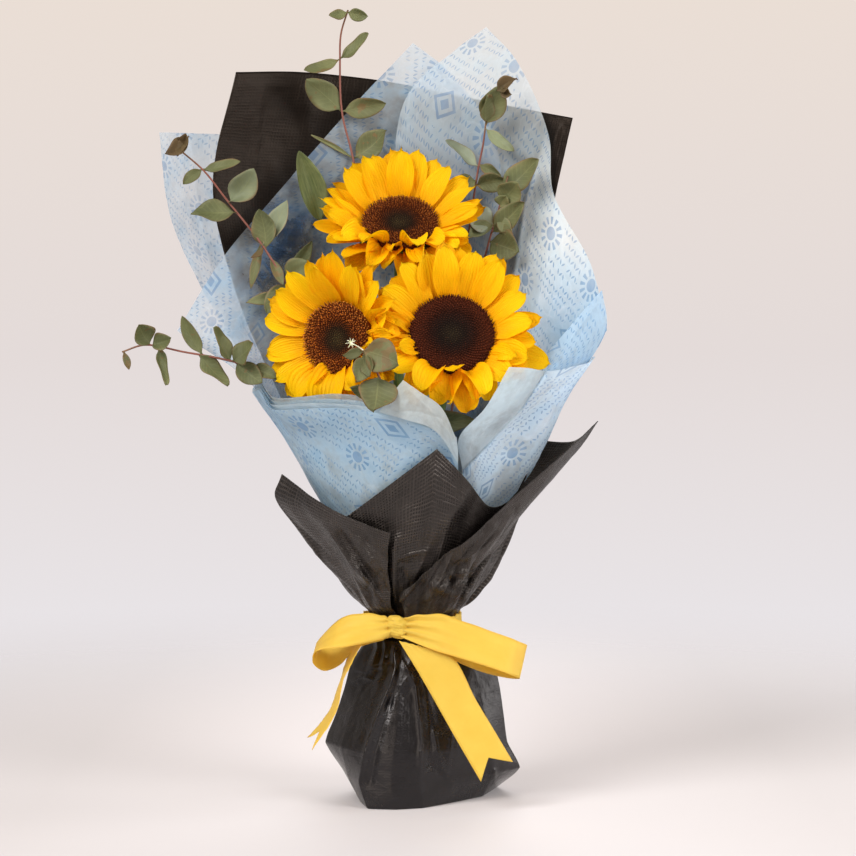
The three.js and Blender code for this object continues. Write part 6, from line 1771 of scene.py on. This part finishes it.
def strip_grid(pairs, nv, nu=13, notch=0.0, gather=(0.0, 0.0), wave_amp=0.0, seed=0):
    """A ribbon along (edge, edge) pairs; gather pleats its two ends, notch cuts a V in the far end."""
    a = np.array([P(*p[0]) for p in pairs])
    c = np.array([P(*p[1]) for p in pairs])
    u = np.linspace(0, 1, nu)
    s = np.linspace(0, 1, nv)
    U, S = np.meshgrid(u, s)
    if notch:
        S = S * (1 - notch * (1 - np.abs(2 * U - 1)))
    A = spl(a, S.ravel()).reshape(nv, nu, 3)
    B = spl(c, S.ravel()).reshape(nv, nu, 3)
    V = A * (1 - U[..., None]) + B * U[..., None]
    N = grid_normals(V)
    g = gather[0] * np.exp(-S / 0.13) + gather[1] * np.exp(-(1 - S) / 0.10)
    h = g * np.sin(U * 2 * np.pi * 3.2 + 1.1 * np.sin(S * 9 + seed)) + wave_amp * vnoise(n3(U * 1.2, S * 5, seed), 5)
    h += 0.22 * np.where(np.abs(2 * U - 1) > 0.9, vnoise(n3(S * 30, U * 2, seed), 7), 0)
    V = V + N * h[..., None]
    # the gathered edge is scalloped beside the knot
    if gather[0] > 1:
        across = A - B
        across = across / np.linalg.norm(across, axis=-1, keepdims=True)
        V = V + across * (0.75 * np.sin(S * 75 + 2 * seed + 2 * np.sin(S * 21)) * np.exp(-S / 0.12) * np.abs(1 - U) ** 1.5)[..., None]
    uv = np.stack([U * 27, S * np.linalg.norm(np.diff(a, axis=0), axis=1).sum()], -1)
    edge = smooth(np.abs(2 * U - 1), 0.86, 1.0)
    return V, uv, edge


def ribbon(name, pairs, nv, **kw):
    V, uv, edge = strip_grid(pairs, nv, **kw)
    b = Build()
    b.thick_grid(V, 0.42, uv, edge=edge)
    ob = finish_piece(b.make(name), M_RIBBON, "ribbon", name)


ribbon("ribbon_loop_left", [([391, 618, -41], [395, 633.5, -42]), ([379, 614.5, -41], [381, 639.5, -46]), ([366, 613, -40], [364, 643.5, -50]), ([343, 617, -37], [345, 647, -54]), ([327, 630, -33], [328, 648, -53]),
                            ([317, 643, -24], [315, 652, -47]), ([318, 646, -15], [313, 663, -38]), ([328, 643, -10], [325, 671, -30]), ([342, 637, -12], [340, 665, -28]),
                            ([360, 628, -24], [356, 649, -35]), ([382, 624, -34], [384, 640, -38.5])],
       140, gather=(2.2, 0.5), wave_amp=0.35, seed=1)
ribbon("ribbon_loop_right", [([405, 617, -40.5], [401, 637, -42.5]), ([439, 614, -43], [433, 650, -48]), ([463, 621, -43], [456, 657, -52]), ([497, 633, -42], [492, 668, -55]),
                             ([518, 641, -40], [511, 675, -54]), ([527, 645, -33], [519.5, 678.5, -46]), ([520, 643, -25], [508, 678, -38]), ([497, 636, -23], [486, 673, -35]),
                             ([470, 630, -27], [460, 663, -38]), ([438, 624, -36], [436, 650, -40]), ([412, 622, -38], [412, 641, -40])],
       150, gather=(2.4, 0.5), wave_amp=0.35, seed=2)
ribbon("ribbon_tail_right", [([420, 646, -45], [399, 641, -46]), ([452, 657, -46], [418, 672, -50]), ([476, 700, -50], [443, 716, -55]), ([494, 730, -54], [460, 746, -59]), ([513, 762, -55], [481, 782, -62])],
       90, notch=0.105, gather=(0.6, 0.0), wave_amp=0.25, seed=3)
ribbon("ribbon_tail_left", [([352, 645, -26], [362, 644, -46]), ([345, 664, -28], [353, 660, -50]), ([338, 688, -30], [344, 681, -53]), ([329, 710, -32], [337, 707, -55]),
                            ([318.6, 726, -33], [329, 725, -57]), ([307, 737, -34], [312, 750, -58])],
       100, notch=0.14, gather=(0.5, 0.0), wave_amp=0.6, seed=4)

KNOT = P(397, 627, -39)
th = np.linspace(0, 2 * math.pi, 80, endpoint=False)
ph = np.linspace(0.02, math.pi - 0.02, 60)
T, Q = np.meshgrid(th, ph)
fold = 0.10 * np.sin(7 * Q + 1.9 * np.cos(T) + 1.2 * np.sin(T) + 1.0 * vnoise(n3(np.cos(T) * 2, np.sin(T) * 2, Q * 2), 4))
fold += 0.12 * fbm(n3(np.cos(T) * np.sin(Q) * 1.4, np.sin(T) * np.sin(Q) * 1.8, np.cos(Q) * 5.5), 3, 0.5, 6, ridged=True)
rr_ = 1 + fold
V = np.stack([KNOT[0] + 8.0 * rr_ * np.sin(Q) ** 0.8 * np.cos(T), KNOT[1] + 6.2 * rr_ * np.sin(Q) ** 0.8 * np.sin(T), KNOT[2] - 0.16 * 9.6 * np.sin(Q) * np.cos(T) + 7.9 * (1 + 0.3 * fold) * np.cos(Q)], -1)
b = Build()
b.solid(V.reshape(-1, 3), grid_faces(60, 80, wrap=True).tolist(), (np.stack([T * 9, Q * 9], -1)).reshape(-1, 2), edge=0.0)
finish_piece(b.make("ribbon_knot"), M_RIBBON, "ribbon", "ribbon_knot")

# ------------------------------------------------------------------ sizes
VIS_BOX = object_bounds()


def plain(x):
    if hasattr(x, "tolist"):
        return x.tolist()
    if isinstance(x, (list, tuple)) or type(x).__name__ in ("Vector",):
        return [plain(v) for v in x]
    if isinstance(x, dict):
        return {str(k): plain(v) for k, v in x.items()}
    return float(x) if isinstance(x, (int, float)) else str(x)


{"cad": plain(CAD_BOX), "visual": plain(VIS_BOX)}
print("CAD", plain(CAD_BOX), "VISUAL", plain(VIS_BOX))
